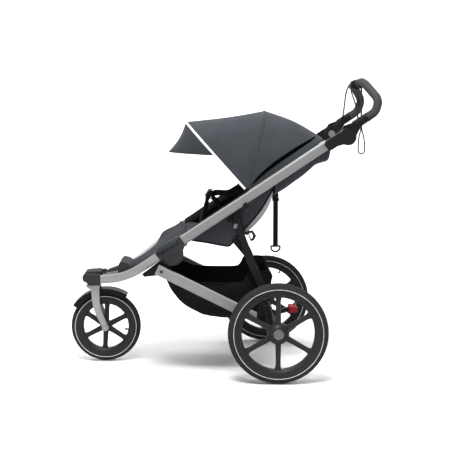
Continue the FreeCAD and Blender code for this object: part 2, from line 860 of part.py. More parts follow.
def swing_arms():
    """Short arms between the rear knuckles and the rear axle."""
    solids = []
    ax = size("rear_axle_x")
    az = size("rear_wheel_rad")
    px = size("swing_pivot_x")
    pz = size("swing_pivot_z")
    outline = [(px - 13, pz - 6), (px + 4, pz - 16), (ax - 4, az - 20), (ax + 18, az - 8),
               (ax + 16, az + 14), (ax - 2, az + 20), (px + 6, pz + 13), (px - 10, pz + 9)]
    for side in (-1, 1):
        low = 248.5 if side > 0 else -258.5
        arm = plate(outline, low, 10)
        bore = cross_rod(size("swing_pin_rad") + size("running_fit"), px, pz, low - 10, 40)
        axle = cross_rod(size("axle_tube_rad"), ax, az, low - 10, 40)
        shock_pin = cross_rod(size("shock_low_pin"), size("shock_low_x"), size("shock_low_z"),
                              258 if side > 0 else -283, 25)
        solids.append(arm.fuse(shock_pin).cut(bore).cut(axle).removeSplitter())
    shaped("swing_arms", Part.makeCompound(solids))


def rear_axle():
    """Axle tube across the frame and the stub axle of each wheel."""
    x = size("rear_axle_x")
    z = size("rear_wheel_rad")
    tube = cylinder("rear_axle_tube", "axle_tube_rad", "", 560, x, -280, z, (0, 1, 0))
    stubs = cylinder("rear_axle_stub", "axle_rad", "", 666, x, -333, z, (0, 1, 0))
    keep(fused("rear_axle", [tube, stubs]), "rear_axle")


def shock_units():
    """Ribbed rubber shock between each tower and swing arm."""
    solids = []
    top = Vector(size("shock_top_x"), 0, size("shock_top_z"))
    low = Vector(size("shock_low_x"), 0, size("shock_low_z"))
    along = low - top
    rad = size("shock_rad")
    clear = 13.0
    run = along.Length - 2 * clear
    rib = run / 12.0
    outline = [Vector(0, 0, clear), Vector(rad - 6, 0, clear)]
    for i in range(6):
        start = clear + rib * (2 * i)
        outline += [Vector(rad, 0, start + rib * 0.4), Vector(rad, 0, start + rib * 1.1),
                    Vector(rad - 5, 0, start + rib * 1.4), Vector(rad - 5, 0, start + rib * 1.9)]
    outline += [Vector(rad - 6, 0, clear + run), Vector(0, 0, clear + run), Vector(0, 0, clear)]
    profile = Part.Face(Part.makePolygon(outline))
    core = profile.revolve(Vector(0, 0, 0), Vector(0, 0, 1), 360)
    for side in (-1, 1):
        spring = core.copy()
        y = side * size("shock_half_y")
        spring.Placement = Placement(Vector(top.x, y, top.z), frame_axes(along, Vector(0, 1, 0)))
        eyes = []
        for centre, radius, pin in ((top, 12.0, "shock_top_pin"), (low, 11.0, "shock_low_pin")):
            ring = cross_rod(radius, centre.x, centre.z, y - 6, 12)
            hole = cross_rod(size(pin) + size("running_fit"), centre.x, centre.z, y - 10, 20)
            eyes.append((ring, hole))
        rod = Part.makeCylinder(5, along.Length - 14, Vector(0, 0, 7), Vector(0, 0, 1))
        rod.Placement = Placement(Vector(top.x, y, top.z),
                                  frame_axes(along, Vector(0, 1, 0))).multiply(rod.Placement)
        unit = spring.fuse(rod)
        for ring, hole in eyes:
            unit = unit.fuse(ring)
        for ring, hole in eyes:
            unit = unit.cut(hole)
        solids.append(max(unit.Solids, key=lambda s: s.Volume))
    shaped("shock_units", Part.makeCompound(solids))


def brake_pedal():
    """Foot pedal: a ring around the rear axle with an arm reaching back."""
    body = new_body("brake_pedal", size("rear_axle_x"), 0, size("rear_wheel_rad"))

    def ring(sketch):
        circle(sketch, 0, 0, "axle_tube_rad", " + 7")

    pad_side(body, -14, 14, ring)

    def arm(sketch):
        polygon(sketch, [(4, 12), (16, -2), (60, 8), (74, 14), (74, 30), (56, 26)])

    pad_side(body, -10, 10, arm)

    def bore(sketch):
        circle(sketch, 0, 0, "axle_tube_rad", " + dims.running_fit")

    pocket_side(body, -60, 60, bore)


def pedal_pad():
    body = new_body("pedal_pad", size("rear_axle_x"), 0, size("rear_wheel_rad"))

    def block(sketch):
        polygon(sketch, [(74, 11), (108, 13), (110, 32), (100, 38), (74, 38)])

    pad_side(body, -32, 32, block)


# ---------------------------------------------------------------- handlebar


def tube_sockets():
    """Black socket on the upper tube's end, carrying the outer half of the handlebar hub."""
    solids = []
    hx = size("hub_x")
    hz = size("hub_z")
    thick = 24
    outline = [(408, 940), (430, 916), (462, 936), (hx - 14, hz - 30), (hx + 30, hz - 12),
               (hx + 32, hz + 12), (hx + 8, hz + 33), (470, 992), (440, 972), (412, 955)]
    for side in (-1, 1):
        low = 212.5 if side > 0 else -236.5
        block = plate(outline, low, thick)
        disc = cross_rod(size("hub_rad"), hx, hz, low, thick)
        start, end = upper_tube_ends(side)
        tube = tube_room(start, end, "upper_tube_tall")
        pin = cross_rod(size("hub_pin_rad"), hx, hz, 200 if side > 0 else -220, 20)
        solid = block.fuse(disc).cut(tube).fuse(pin).removeSplitter()
        solids.append(max(solid.Solids, key=lambda s: s.Volume))
    shaped("tube_sockets", Part.makeCompound(solids))


def bar_route():
    """Centre line of the handlebar from the right arm to the left arm."""
    half = [Vector(512, 199, 1004), Vector(618, 199, 1073), Vector(635, 188, 1121), Vector(585, 128, 1193)]
    mirrored = [Vector(p.x, -p.y, p.z) for p in reversed(half)]
    bends = [50, 52, 44]
    return rounded_route(half + mirrored, bends + list(reversed(bends)))[0]


def handlebar_tube():
    """Bent tube with a flat hub end on each arm."""
    tube = round_pipe(bar_route(), size("bar_rad"))
    hx = size("hub_x")
    hz = size("hub_z")
    thick = 22
    outline = [(hx - 32, hz + 6), (hx - 12, hz + 44), (522, 1028), (548, 1042), (562, 1020),
               (hx + 32, hz - 6)]
    for side in (-1, 1):
        low = 190 if side > 0 else -212
        disc = cross_rod(size("hub_rad"), hx, hz, low, thick)
        arm = plate(outline, low, thick)
        bore = cross_rod(size("hub_pin_rad") + size("running_fit"), hx, hz, side * 200 - 25, 50)
        recess = cross_rod(size("hub_button_rad") + size("body_gap"), hx, hz, 188 if side > 0 else -200, 12)
        tube = tube.fuse(disc).fuse(arm).cut(bore).cut(recess)
    shaped("handlebar_tube", tube.removeSplitter())


def handlebar_grips():
    """Foam sleeves round the bends, ending at the brake unit."""
    sleeve = round_pipe(bar_route(), size("grip_rad"))
    bar = round_pipe(bar_route(), size("bar_rad"))
    middle = Part.makeBox(200, 104, 200, Vector(500, -52, 1100))
    along = Vector(39, 0, 25)
    along.normalize()
    lower = Part.makeBox(300, 600, 300, Vector(-150, -300, -300))
    lower.Placement = Placement(Vector(584, 0, 1051), Rotation(Vector(0, 0, 1), along))
    grips = sleeve.cut(bar).cut(middle).cut(lower)
    shaped("handlebar_grips", Part.makeCompound(grips.Solids))


def hub_button(side):
    """Round press button in the inner face of the hub."""
    y = 188.5 if side > 0 else -193.5
    name = "hub_button_" + side_name(side)
    keep(cylinder(name, "hub_button_rad", "", 5, size("hub_x"), y, size("hub_z"), (0, 1, 0)), name)


def brake_unit():
    """Housing of the hand brake, clamped on the middle of the crossbar and reaching forward."""
    body = new_body("brake_unit", 585, 0, 1193)

    def block(sketch):
        polygon(sketch, [(-36, -22), (-12, -26), (14, -20), (18, 0),
                         (12, 16), (-6, 17), (-30, 9), (-38, -6)])
        circle(sketch, 0, 0, "bar_rad")

    pad_side(body, -22, 22, block)


def twist_grips():
    """Twisting collars of the hand brake, on both sides of the housing."""
    solids = []
    for side in (-1, 1):
        low = 22.5 if side > 0 else -50.5
        collar = cross_rod(19, 585, 1193, low, 28)
        bore = cross_rod(size("bar_rad") + size("body_gap"), 585, 1193, low - 10, 60)
        solids.append(collar.cut(bore))
    shaped("brake_twist_grips", Part.makeCompound(solids))


def brake_cable(side):
    """Control cable bowing from the brake housing into the handlebar arm."""
    points = [Vector(549, 17, 1186), Vector(545, 46, 1170), Vector(545, 86, 1141), Vector(549, 126, 1110),
              Vector(551, 160, 1078), Vector(551, 182, 1054), Vector(548, 190, 1033)]
    points = [Vector(p.x, side * p.y, p.z) for p in points]
    cord("brake_cable_" + side_name(side), points, size("cable_rad"))


def wrist_strap():
    """Doubled webbing that hangs from a band round the crossbar."""
    wide = size("webbing_wide") - 2
    y = -75 - wide / 2.0
    strip = Part.makeBox(2 * size("webbing_thick"), wide, 152, Vector(585 - size("webbing_thick"), y, 1022))
    hole = cross_rod(size("grip_rad") + 0.4, 585, 1193, -105, 60)
    band = cross_rod(size("grip_rad") + 2.8, 585, 1193, y, wide)
    shaped("wrist_strap", band.cut(hole).fuse(strip.cut(hole)).removeSplitter())


def wrist_cord():
    """Thin cord loop below the webbing, both ends side by side in its lower edge."""
    points = [Vector(585, -71.9, 1022), Vector(585, -71.9, 1000), Vector(578, -73.6, 977),
              Vector(573.5, -75, 951), Vector(572.5, -75, 926), Vector(573, -75, 904.6),
              Vector(580.6, -75, 897), Vector(591.4, -75, 897), Vector(599, -75, 904.6),
              Vector(600, -75, 926), Vector(598.5, -75, 951), Vector(593, -76.4, 977),
              Vector(585.6, -78.1, 1000), Vector(585, -78.1, 1022)]
    cord("wrist_cord", points, size("strap_cord_rad"))


# ---------------------------------------------------------------- canopy


def arch(angle, reach, shrink, power=2.6, count=12):
    """Points of a canopy arch from the left pivot over the crest to the right one, in its own plane."""
    cx = size("canopy_x")
    cz = size("canopy_z")
    a = math.radians(angle)
    wide = size("canopy_half_y") - shrink
    tall = reach - shrink
    points = []
    for i in range(count + 1):
        t = math.pi * i / count
        c = math.cos(t)
        s = max(math.sin(t), 0.0)
        y = -wide * math.copysign(abs(c) ** (2.0 / power), c)
        rise = tall * s ** (2.0 / power)
        rise = max(rise, 12.0)
        points.append(Vector(cx + rise * math.cos(a), y, cz + rise * math.sin(a)))
    return points


def arch_band(angle, reach, power=2.6):
    """A closed thin band along an arch, to loft the cloth from."""
    outer = arch(angle, reach, 0.0, power)
    inner = arch(angle, reach, size("canopy_thick"), power)
    return Part.makePolygon(outer + list(reversed(inner)) + outer[:1])


def canopy_panel(label, first, second):
    """Cloth between two arches, each (angle, reach, power)."""
    shaped(label, Part.makeLoft([arch_band(*first), arch_band(*second)], True, True))


def canopy_bow(label, angle, reach, power, inset):
    """Thin rod bent over the seat under the cloth, with a flat eye on each canopy pin; inset narrows it."""
    rod_rad = size("bow_rad")
    under = size("canopy_thick") + rod_rad + 3.0
    half = size("canopy_half_y") - under - inset
    points = [Vector(p.x, p.y * half / (half + inset), p.z) for p in arch(angle, reach, under, power, 16)]
    shape = round_loft(points, rod_rad)
    axis = Vector(0, 1, 0)
    for side in (-1, 1):
        start = Vector(size("canopy_x"), side * half - rod_rad, size("canopy_z"))
        shape = shape.fuse(Part.makeCylinder(size("canopy_eye_rad"), 2 * rod_rad, start, axis))
    for side in (-1, 1):
        start = Vector(size("canopy_x"), side * half - 2 * rod_rad, size("canopy_z"))
        bore_rad = size("canopy_pin_rad") + size("running_fit")
        shape = shape.cut(Part.makeCylinder(bore_rad, 4 * rod_rad, start, axis))
    shaped(label, shape)


def canopy():
    front = size("canopy_front_angle")
    middle = size("canopy_mid_angle")
    rear = size("canopy_rear_angle")
    reach_front = size("canopy_front_reach")
    reach_mid = size("canopy_mid_reach")
    reach_rear = size("canopy_rear_reach")
    step = 1.2
    canopy_panel("canopy_front_panel", (front - step, reach_front, 2.6), (middle + step, reach_mid, 2.6))
    canopy_panel("canopy_rear_panel", (middle - step, reach_mid, 2.6), (rear, reach_rear, 3.4))
    canopy_bow("canopy_front_bow", front, reach_front, 2.6, 0.0)
    canopy_bow("canopy_middle_bow", middle, reach_mid, 2.6, size("bow_inset"))


def visor():
    """Sun visor flaring forward from the front bow."""
    sections = []
    thick = size("canopy_thick")
    lift = 1.2
    reach = size("canopy_front_reach")
    angle = math.radians(size("canopy_front_angle") + lift)
    for k in range(-6, 7):
        share = k / 6.0
        y = share * 196.0
        rise = reach * (1 - abs(y / (size("canopy_half_y") + 1)) ** 2.6) ** (1 / 2.6)
        top = Vector(size("canopy_x") + rise * math.cos(angle), y, size("canopy_z") + rise * math.sin(angle))
        forward = 1 - abs(share) ** 2.2
        rim = Vector(-44 - 178 * forward, y, 898 + 5 * forward)
        middle = (top + rim) * 0.5 + Vector(22 * forward, 0, -4 * forward)
        row = [top, middle, rim]
        if k in (-6, 6):
            row = [top, (top + rim) * 0.5, rim + Vector(-4, 0, -6)]
        inner = [p + Vector(thick, 0, 0) for p in row]
        sections.append(Part.makePolygon(row + list(reversed(inner)) + row[:1]))
    shaped("visor", Part.makeLoft(sections, True, True))


# ---------------------------------------------------------------- seat


def seat_side(side):
    """Side panel of the seat, hanging from the upper tube."""
    body = new_body("seat_side_" + side_name(side), 0, side * (size("seat_half_y") + 1.5), 0, whole=False)

    def outline(sketch):
        polygon(sketch, [(-132, 566), (-120, 548), (16, 524), (52, 532), (80, 562), (196, 712), (232, 800),
                         (40, 672)])

    pad_side(body, -1.5, 1.5, outline, "dims.fabric_thick")
    return body


def seat_base():
    body = new_body("seat_base")

    def outline(sketch):
        polygon(sketch, [(-150, 562), (-140, 550), (14, 530), (36, 542), (34, 556), (-140, 580)])

    half = size("seat_half_y") - 2
    pad_side(body, -half, half, outline)


def seat_cross_tube():
    """Cross tube at the seat's front edge, between the two upper castings."""
    outer = cylinder("cross_outer", "bow_rad", " + 6", 447, -152, -223.5, 540, (0, 1, 0))
    inner = cylinder("cross_inner", "bow_rad", " + 4", 447, -152, -223.5, 540, (0, 1, 0))
    keep(cut("seat_cross_tube", outer, inner), "seat_cross_tube")


def back_frame():
    """Lower end, upper end and unit normal of the backrest's middle plane."""
    low = Vector(58, 0, 566)
    high = Vector(292, 0, 842)
    along = high - low
    along.normalize()
    return low, high, along


def backrest():
    """Padded back, hinged at its lower edge."""
    low, high, along = back_frame()
    half = size("pad_thick") / 2.0
    body = new_body("backrest", low.x, 0, low.z, frame_axes(along, Vector(0, 1, 0)))
    long = (high - low).Length
    width = size("seat_half_y") - 10

    def outline(sketch):
        arcs(sketch, [((half, 0), (0, -half)), ((half, long), None), ((-half, long), None),
                      ((-half, 0), None)])

    pad_side(body, -width, width, outline)


def back_mesh():
    """Pale mesh bulging behind the back."""
    line = [(72, 545), (112, 578), (150, 613), (180, 652), (200, 690), (209, 716)]
    inner = [(x - 2.6, z + 1.6) for x, z in line]
    body = new_body("back_mesh")

    def outline(sketch):
        polygon(sketch, line + list(reversed(inner)))

    width = size("seat_half_y") - 16
    pad_side(body, -width, width, outline)


def rear_panel():
    """Cloth below the upper tubes from the back to the tube ends."""
    body = new_body("rear_panel")
    line = [(222, 735), (274, 769), (342, 819), (378, 851), (430, 869), (442, 915)]
    inner = [(226, 745), (272, 774), (340, 824), (377, 856), (427, 874), (438, 915)]

    def outline(sketch):
        polygon(sketch, line + list(reversed(inner)))

    width = size("tube_top_half_y") - 24
    pad_side(body, -width, width, outline)


def webbing(label, line, y, wide=None):
    """A flat strap that follows a line in the X-Z plane."""
    wide = wide or size("webbing_wide")
    thick = size("webbing_thick")
    points = [Vector(a, 0, b) for a, b in line]
    upper = []
    lower = []
    for i, point in enumerate(points):
        along = points[min(i + 1, len(points) - 1)] - points[max(i - 1, 0)]
        along.normalize()
        normal = Vector(-along.z, 0, along.x)
        upper.append(point + normal * (thick / 2.0))
        lower.append(point - normal * (thick / 2.0))
    outline = upper + list(reversed(lower))
    strap = Part.Face(Part.makePolygon(outline + outline[:1])).extrude(Vector(0, wide, 0))
    strap.translate(Vector(0, y - wide / 2.0, 0))
    return strap


def harness_straps():
    """Crotch strap, two shoulder straps and two waist straps."""
    wide = size("webbing_wide")
    crotch = webbing("crotch", [(-84, 575), (-74, 640), (-62, 688)], 0, 30)
    straps = [crotch]
    for side in (-1, 1):
        y = side * 30
        straps.append(webbing("shoulder", [(-34, 722), (10, 742), (60, 740), (112, 700), (150, 691)], y, 26))
        waist = webbing("waist", [(-40, 705), (0, 660), (52, 605), (66, 597)], side * 58, wide)
        straps.append(waist)
    shaped("harness_straps", Part.makeCompound(straps))


def buckle():
    """Harness buckle body with the hole of its release button."""
    body = new_body("buckle", -51, 0, 716)

    def outline(sketch):
        polygon(sketch, [(-18, -24), (-6, -26), (14, 8), (14, 22), (-2, 24), (-12, 8)])

    pad_side(body, -46, 46, outline)

    def hole(sketch):
        polygon(sketch, [(-24, -8), (-7, -8), (-7, 10), (-24, 10)])

    pocket_side(body, -12, 12, hole)


def buckle_button():
    body = new_body("buckle_button", -51, 0, 716)

    def outline(sketch):
        polygon(sketch, [(-19, -6), (-12, -6), (-12, 8), (-16.5, 8)])

    pad_side(body, -11, 11, outline)


def recline_strap():
    """Pull strap hanging flat to the side behind the back, looped through the D-ring."""
    x = size("recline_x")
    wide = size("webbing_wide")
    thick = size("webbing_thick")
    bar = size("ring_top_z")
    top = 706
    strap = Part.makeBox(wide, thick, top - bar - 5, Vector(x - wide / 2.0, -thick / 2.0, bar + 5))
    anchor = Part.makeBox(26, 40, 18, Vector(x - 16, -20, top))
    inside = size("ring_wire_rad") + 0.6
    loop = Part.makeCylinder(inside + thick, wide, Vector(x - wide / 2.0, 0, bar), Vector(1, 0, 0))
    hole = Part.makeCylinder(inside, 60, Vector(x - 30, 0, bar), Vector(1, 0, 0))
    shaped("recline_strap", strap.fuse(anchor).fuse(loop).cut(hole).removeSplitter())


def d_ring():
    """Wire ring at the end of the recline strap, flat to the side."""
    x = size("recline_x")
    top = size("ring_top_z")
    wire_rad = size("ring_wire_rad")
    half = 19.0
    low = top - 24
    corner = top - 9
    start = Vector(x - half, 0, top)
    edges = [
        Part.LineSegment(start, Vector(x + half, 0, top)).toShape(),
        Part.LineSegment(Vector(x + half, 0, top), Vector(x + half, 0, corner)).toShape(),
        Part.Arc(Vector(x + half, 0, corner), Vector(x, 0, low), Vector(x - half, 0, corner)).toShape(),
        Part.LineSegment(Vector(x - half, 0, corner), start).toShape(),
    ]
    ring = None
    for edge in edges:
        begin = edge.valueAt(edge.FirstParameter)
        tangent = edge.tangentAt(edge.FirstParameter)
        profile = Part.Wire([Part.Circle(begin, tangent, wire_rad).toShape()])
        side = Part.Wire([edge]).makePipeShell([profile], True, False).fuse(Part.makeSphere(wire_rad, begin))
        ring = side if ring is None else ring.fuse(side)
    shaped("d_ring", ring.removeSplitter())


def tube_studs():
    """Round stud on the lower edge of each upper tube, and the pin that the canopy bows turn on."""
    studs = []
    for side in (-1, 1):
        low = 193.5 if side > 0 else -218
        studs.append(cylinder("canopy_pin_" + side_name(side), "canopy_pin_rad", "", 24.5,
                              size("canopy_x"), low, size("canopy_z"), (0, 1, 0)))
        y = 248.5 if side > 0 else -255.5
        studs.append(cylinder("stud_" + side_name(side), "cap_rad", " - 9.5", 7, 92.6, y - 8 * side, 697,
                              (0, 1, 0)))
    keep(grouped("tube_studs", studs), "tube_studs")


def basket():
    """Storage basket hanging between the lower tubes, open at the top."""
    body = new_body("basket")
    top = [(207, 400), (184, 419), (106, 419), (97, 392), (78, 374), (-15, 372), (-121, 377), (-172, 396),
           (-236, 402)]
    low = [(-209, 340), (-163, 288), (-90, 247), (-38, 231), (30, 222), (110, 218), (178, 222), (190, 240),
           (204, 370)]
    half = size("basket_half_y")

    def outer(sketch):
        polygon(sketch, top + low)

    pad_side(body, -half, half, outer)
    wall = size("fabric_thick")
    room = [(200, 500), (-225, 500), (-225, 409), (-206, 345), (-161, 292), (-88.5, 250.5), (-37, 234.5),
            (30, 225.5), (110, 221.5), (176, 225.5), (187, 242), (200, 380)]

    def inner(sketch):
        polygon(sketch, room)

    pocket_side(body, -half + wall, half - wall, inner)


# ---------------------------------------------------------------- assembly


def build():
    for side in (-1, 1):
        rear_tyre(side)
        rear_rim(side)
        wheel_cap(side)
        hub_button(side)
        brake_cable(side)
    for label, make in (("upper_tubes", upper_tube), ("lower_tubes", lower_tube),
                        ("rear_struts", rear_strut), ("seat_sides", seat_side)):
        keep(grouped(label, [make(-1), make(1)]), label)
    shaped("front_tubes", Part.makeCompound([front_tube(-1), front_tube(1)]))
    front_tyre()
    front_rim()
    front_axle()
    fork_crown()
    fork_blades()
    front_fender()
    steering_head()
    swivel_lock()
    footrest()
    leg_rest()
    upper_knuckles()
    front_knuckles()
    main_hinge_pins()
    lower_pivot_pins()
    rear_knuckles()
    strut_catch()
    swing_arms()
    rear_axle()
    shock_units()
    brake_pedal()
    pedal_pad()
    tube_sockets()
    handlebar_tube()
    handlebar_grips()
    brake_unit()
    twist_grips()
    wrist_strap()
    wrist_cord()
    canopy()
    visor()
    seat_base()
    seat_cross_tube()
    backrest()
    back_mesh()
    rear_panel()
    harness_straps()
    buckle()
    buckle_button()
    recline_strap()
    d_ring()
    tube_studs()
    basket()


def check_and_write():
    DOC.recompute()
    bad = [o.Name for o in DOC.Objects if "Invalid" in o.State or "Error" in o.State]
    if bad:
        raise RuntimeError("features that did not build: " + ", ".join(bad))
    os.makedirs("parts", exist_ok=True)
    for label, obj in NODES:
        shape = obj.Shape
        if shape.isNull() or not shape.isValid() or shape.Volume <= 0:
            raise RuntimeError(label + " has no valid shape")
        shape.exportStep("parts/" + label + ".step")
    print(len(NODES), "pieces")


build()
check_and_write()
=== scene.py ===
import bmesh
import bpy
import json
import math
import numpy as np
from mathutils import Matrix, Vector, noise
from mathutils.bvhtree import BVHTree


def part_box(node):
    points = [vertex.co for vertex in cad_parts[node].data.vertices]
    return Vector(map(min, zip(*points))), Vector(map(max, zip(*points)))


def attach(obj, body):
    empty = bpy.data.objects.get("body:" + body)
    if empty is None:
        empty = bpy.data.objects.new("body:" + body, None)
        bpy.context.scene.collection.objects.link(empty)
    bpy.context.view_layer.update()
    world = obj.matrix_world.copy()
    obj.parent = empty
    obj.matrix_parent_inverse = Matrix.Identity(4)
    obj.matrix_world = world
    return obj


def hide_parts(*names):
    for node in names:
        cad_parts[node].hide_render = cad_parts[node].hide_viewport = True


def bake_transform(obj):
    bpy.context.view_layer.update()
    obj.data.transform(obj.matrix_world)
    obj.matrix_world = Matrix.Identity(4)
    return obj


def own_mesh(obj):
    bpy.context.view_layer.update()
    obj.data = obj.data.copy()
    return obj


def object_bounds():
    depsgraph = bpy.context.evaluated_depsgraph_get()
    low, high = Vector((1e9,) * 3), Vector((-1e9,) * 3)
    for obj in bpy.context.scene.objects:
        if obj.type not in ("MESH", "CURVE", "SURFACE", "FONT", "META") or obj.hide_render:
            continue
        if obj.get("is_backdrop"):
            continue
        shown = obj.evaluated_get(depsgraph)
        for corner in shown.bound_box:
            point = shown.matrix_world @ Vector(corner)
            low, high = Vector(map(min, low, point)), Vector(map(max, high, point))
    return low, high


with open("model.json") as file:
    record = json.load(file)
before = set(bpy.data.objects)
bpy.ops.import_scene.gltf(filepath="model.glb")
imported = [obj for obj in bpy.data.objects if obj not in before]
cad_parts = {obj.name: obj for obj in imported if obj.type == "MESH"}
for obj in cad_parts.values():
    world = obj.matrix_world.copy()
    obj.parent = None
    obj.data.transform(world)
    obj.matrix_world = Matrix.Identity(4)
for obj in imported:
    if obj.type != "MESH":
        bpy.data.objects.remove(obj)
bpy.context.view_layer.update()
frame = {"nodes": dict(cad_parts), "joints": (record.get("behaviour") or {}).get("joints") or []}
NODES = frame["nodes"]
JOINTS = {j["name"]: j for j in frame["joints"]}
SIDES = (("left", -1), ("right", 1))
CLOTH = 0.0022  # thickness of the sewn cloth, in metres


def pivot(joint):
    return Vector(JOINTS[joint]["pos_m"])


def clamp(value):
    return min(max(value, 0), 1)


def signed_power(value, power):
    """A power of the number's size, with the number's sign."""
    return math.copysign(abs(value) ** power, value)


def circle(count):
    """Cosine and sine at even steps round a circle."""
    return [(math.cos(2 * math.pi * k / count), math.sin(2 * math.pi * k / count)) for k in range(count)]


def heading(line, i):
    """Direction of a line of points at one of them."""
    return (line[min(i + 1, len(line) - 1)] - line[max(i - 1, 0)]).normalized()


def wrinkle(p, size, height=1.0):
    return noise.noise(Vector(p) / size) * height


# ------------------------------------------------------------------ camera, lights, floor

camera = bpy.data.objects.new("camera", bpy.data.cameras.new("camera"))
bpy.context.scene.collection.objects.link(camera)
camera.location = (-0.1008, -3.6878, 1.0912)
camera.rotation_euler = (math.radians(90 - 2.5), 0, 0)
camera.data.sensor_width = 36
camera.data.lens = 68.952
camera.data.shift_x = 0.0608
camera.data.shift_y = -0.1777
camera.data.clip_start = 0.05
camera.data.clip_end = 60
bpy.context.scene.camera = camera
bpy.context.scene.view_settings.view_transform = "Standard"

world = bpy.data.worlds.new("studio")
bpy.context.scene.world = world
world.use_nodes = True
world.node_tree.nodes["Background"].inputs["Color"].default_value = (1.0, 1.0, 1.0, 1)
world.node_tree.nodes["Background"].inputs["Strength"].default_value = 0.23


def area_light(name, place, target, size, watts):
    """A rectangular softbox at a place, turned to its target."""
    lamp = bpy.data.lights.new(name, "AREA")
    lamp.shape = "RECTANGLE"
    lamp.size = size[0]
    lamp.size_y = size[1]
    lamp.energy = watts
    obj = bpy.data.objects.new(name, lamp)
    obj.location = place
    obj.rotation_euler = (Vector(target) - Vector(place)).to_track_quat("-Z", "Y").to_euler()
    bpy.context.scene.collection.objects.link(obj)


area_light("top_softbox", (0.0, -1.1, 4.2), (0, 0.1, 0), (5.0, 2.4), 105)
area_light("key_softbox", (-0.3, -1.5, 3.7), (0.0, 0.1, 0), (1.3, 0.9), 135)
area_light("back_softbox", (0.0, 2.0, 4.6), (0, 4.2, 1.0), (6.0, 2.0), 230)
area_light("side_softbox", (-2.6, -4.4, 2.0), (0, 0, 0.5), (2.4, 1.8), 18)


def studio_sweep():
    """Pale floor that curves up into the wall behind."""
    line = [(-9.0, 0.0), (1.6, 0.0)]
    for step in range(1, 13):
        a = math.pi / 2 * step / 12
        line.append((1.6 + 1.8 * math.sin(a), 1.8 - 1.8 * math.cos(a)))
    line.append((3.4, 7.0))
    points = []
    for x in (-9.0, 9.0):
        points += [(x, y, z - 0.0004) for y, z in line]
    count = len(line)
    faces = [(i, i + 1, count + i + 1, count + i) for i in range(count - 1)]
    mesh = bpy.data.meshes.new("floor")
    mesh.from_pydata(points, [], faces)
    for face in mesh.polygons:
        face.use_smooth = True
    sweep = bpy.data.objects.new("floor", mesh)
    bpy.context.scene.collection.objects.link(sweep)
    paint = Nodes("studio_floor", (0.86, 0.86, 0.86), 0.9, 0.0, 0.1)
    paint.paint(paint.noise(3, 2), 0.995, 1.005)
    mesh.materials.append(paint.material)
    sweep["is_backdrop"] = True


# ------------------------------------------------------------------ materials


class Nodes:
    """Small helper that builds one procedural material."""

    def __init__(self, name, colour, roughness, metallic=0.0, specular=0.5):
        self.material = bpy.data.materials.new(name)
        self.material.use_nodes = True
        self.tree = self.material.node_tree
        self.shader = self.tree.nodes["Principled BSDF"]
        self.colour = tuple(colour) + (1.0,)
        self.shader.inputs["Base Color"].default_value = self.colour
        self.shader.inputs["Roughness"].default_value = roughness
        self.shader.inputs["Metallic"].default_value = metallic
        self.shader.inputs["Specular IOR Level"].default_value = specular
        self.place = self.tree.nodes.new("ShaderNodeTexCoord").outputs["Object"]
        self.height = None

    def stretched(self, scale=(1, 1, 1), turn=(0, 0, 0)):
        mapping = self.tree.nodes.new("ShaderNodeMapping")
        mapping.inputs["Scale"].default_value = scale
        mapping.inputs["Rotation"].default_value = turn
        self.tree.links.new(self.place, mapping.inputs["Vector"])
        return mapping.outputs["Vector"]

    def noise(self, scale, detail=3.0, vector=None):
        made = self.tree.nodes.new("ShaderNodeTexNoise")
        made.inputs["Scale"].default_value = scale
        made.inputs["Detail"].default_value = detail
        self.tree.links.new(vector or self.place, made.inputs["Vector"])
        return made.outputs["Fac"]

    def wave(self, scale, vector=None, axis="X"):
        made = self.tree.nodes.new("ShaderNodeTexWave")
        made.bands_direction = axis
        made.wave_profile = "SIN"
        made.inputs["Scale"].default_value = scale
        made.inputs["Distortion"].default_value = 0.0
        self.tree.links.new(vector or self.place, made.inputs["Vector"])
        return made.outputs["Fac"]

    def math(self, kind, a, b):
        made = self.tree.nodes.new("ShaderNodeMath")
        made.operation = kind
        for i, value in enumerate((a, b)):
            if isinstance(value, (int, float)):
                made.inputs[i].default_value = value
            else:
                self.tree.links.new(value, made.inputs[i])
        return made.outputs["Value"]

    def ramp(self, value, stops):
        made = self.tree.nodes.new("ShaderNodeValToRGB")
        band = made.color_ramp
        while len(band.elements) < len(stops):
            band.elements.new(0.5)
        for element, (at, colour) in zip(band.elements, stops):
            element.position = at
            element.color = tuple(colour) + (1.0,)
        self.tree.links.new(value, made.inputs["Fac"])
        return made.outputs["Color"]

    def span(self, value, low, high, out_low, out_high):
        made = self.tree.nodes.new("ShaderNodeMapRange")
        for name, number in (("From Min", low), ("From Max", high), ("To Min", out_low),
                             ("To Max", out_high)):
            made.inputs[name].default_value = number
        self.tree.links.new(value, made.inputs["Value"])
        return made.outputs["Result"]

    def paint(self, value, dark, light):
        """Base colour from dark to light shares of the own colour."""
        low = tuple(c * dark for c in self.colour[:3])
        high = tuple(min(c * light, 1) for c in self.colour[:3])
        self.tree.links.new(self.ramp(value, [(0.25, low), (0.75, high)]), self.shader.inputs["Base Color"])

    def rough(self, value, low, high):
        self.tree.links.new(self.span(value, 0, 1, low, high), self.shader.inputs["Roughness"])

    def bump(self, value, distance, strength=1.0):
        made = self.tree.nodes.new("ShaderNodeBump")
        made.inputs["Distance"].default_value = distance
        made.inputs["Strength"].default_value = strength
        self.tree.links.new(value, made.inputs["Height"])
        if self.height is not None:
            self.tree.links.new(self.height, made.inputs["Normal"])
        self.height = made.outputs["Normal"]
        self.tree.links.new(self.height, self.shader.inputs["Normal"])


def set_sockets(material, **values):
    shader = material.node_tree.nodes["Principled BSDF"]
    for name, value in values.items():
        shader.inputs[name.replace("_", " ")].default_value = value


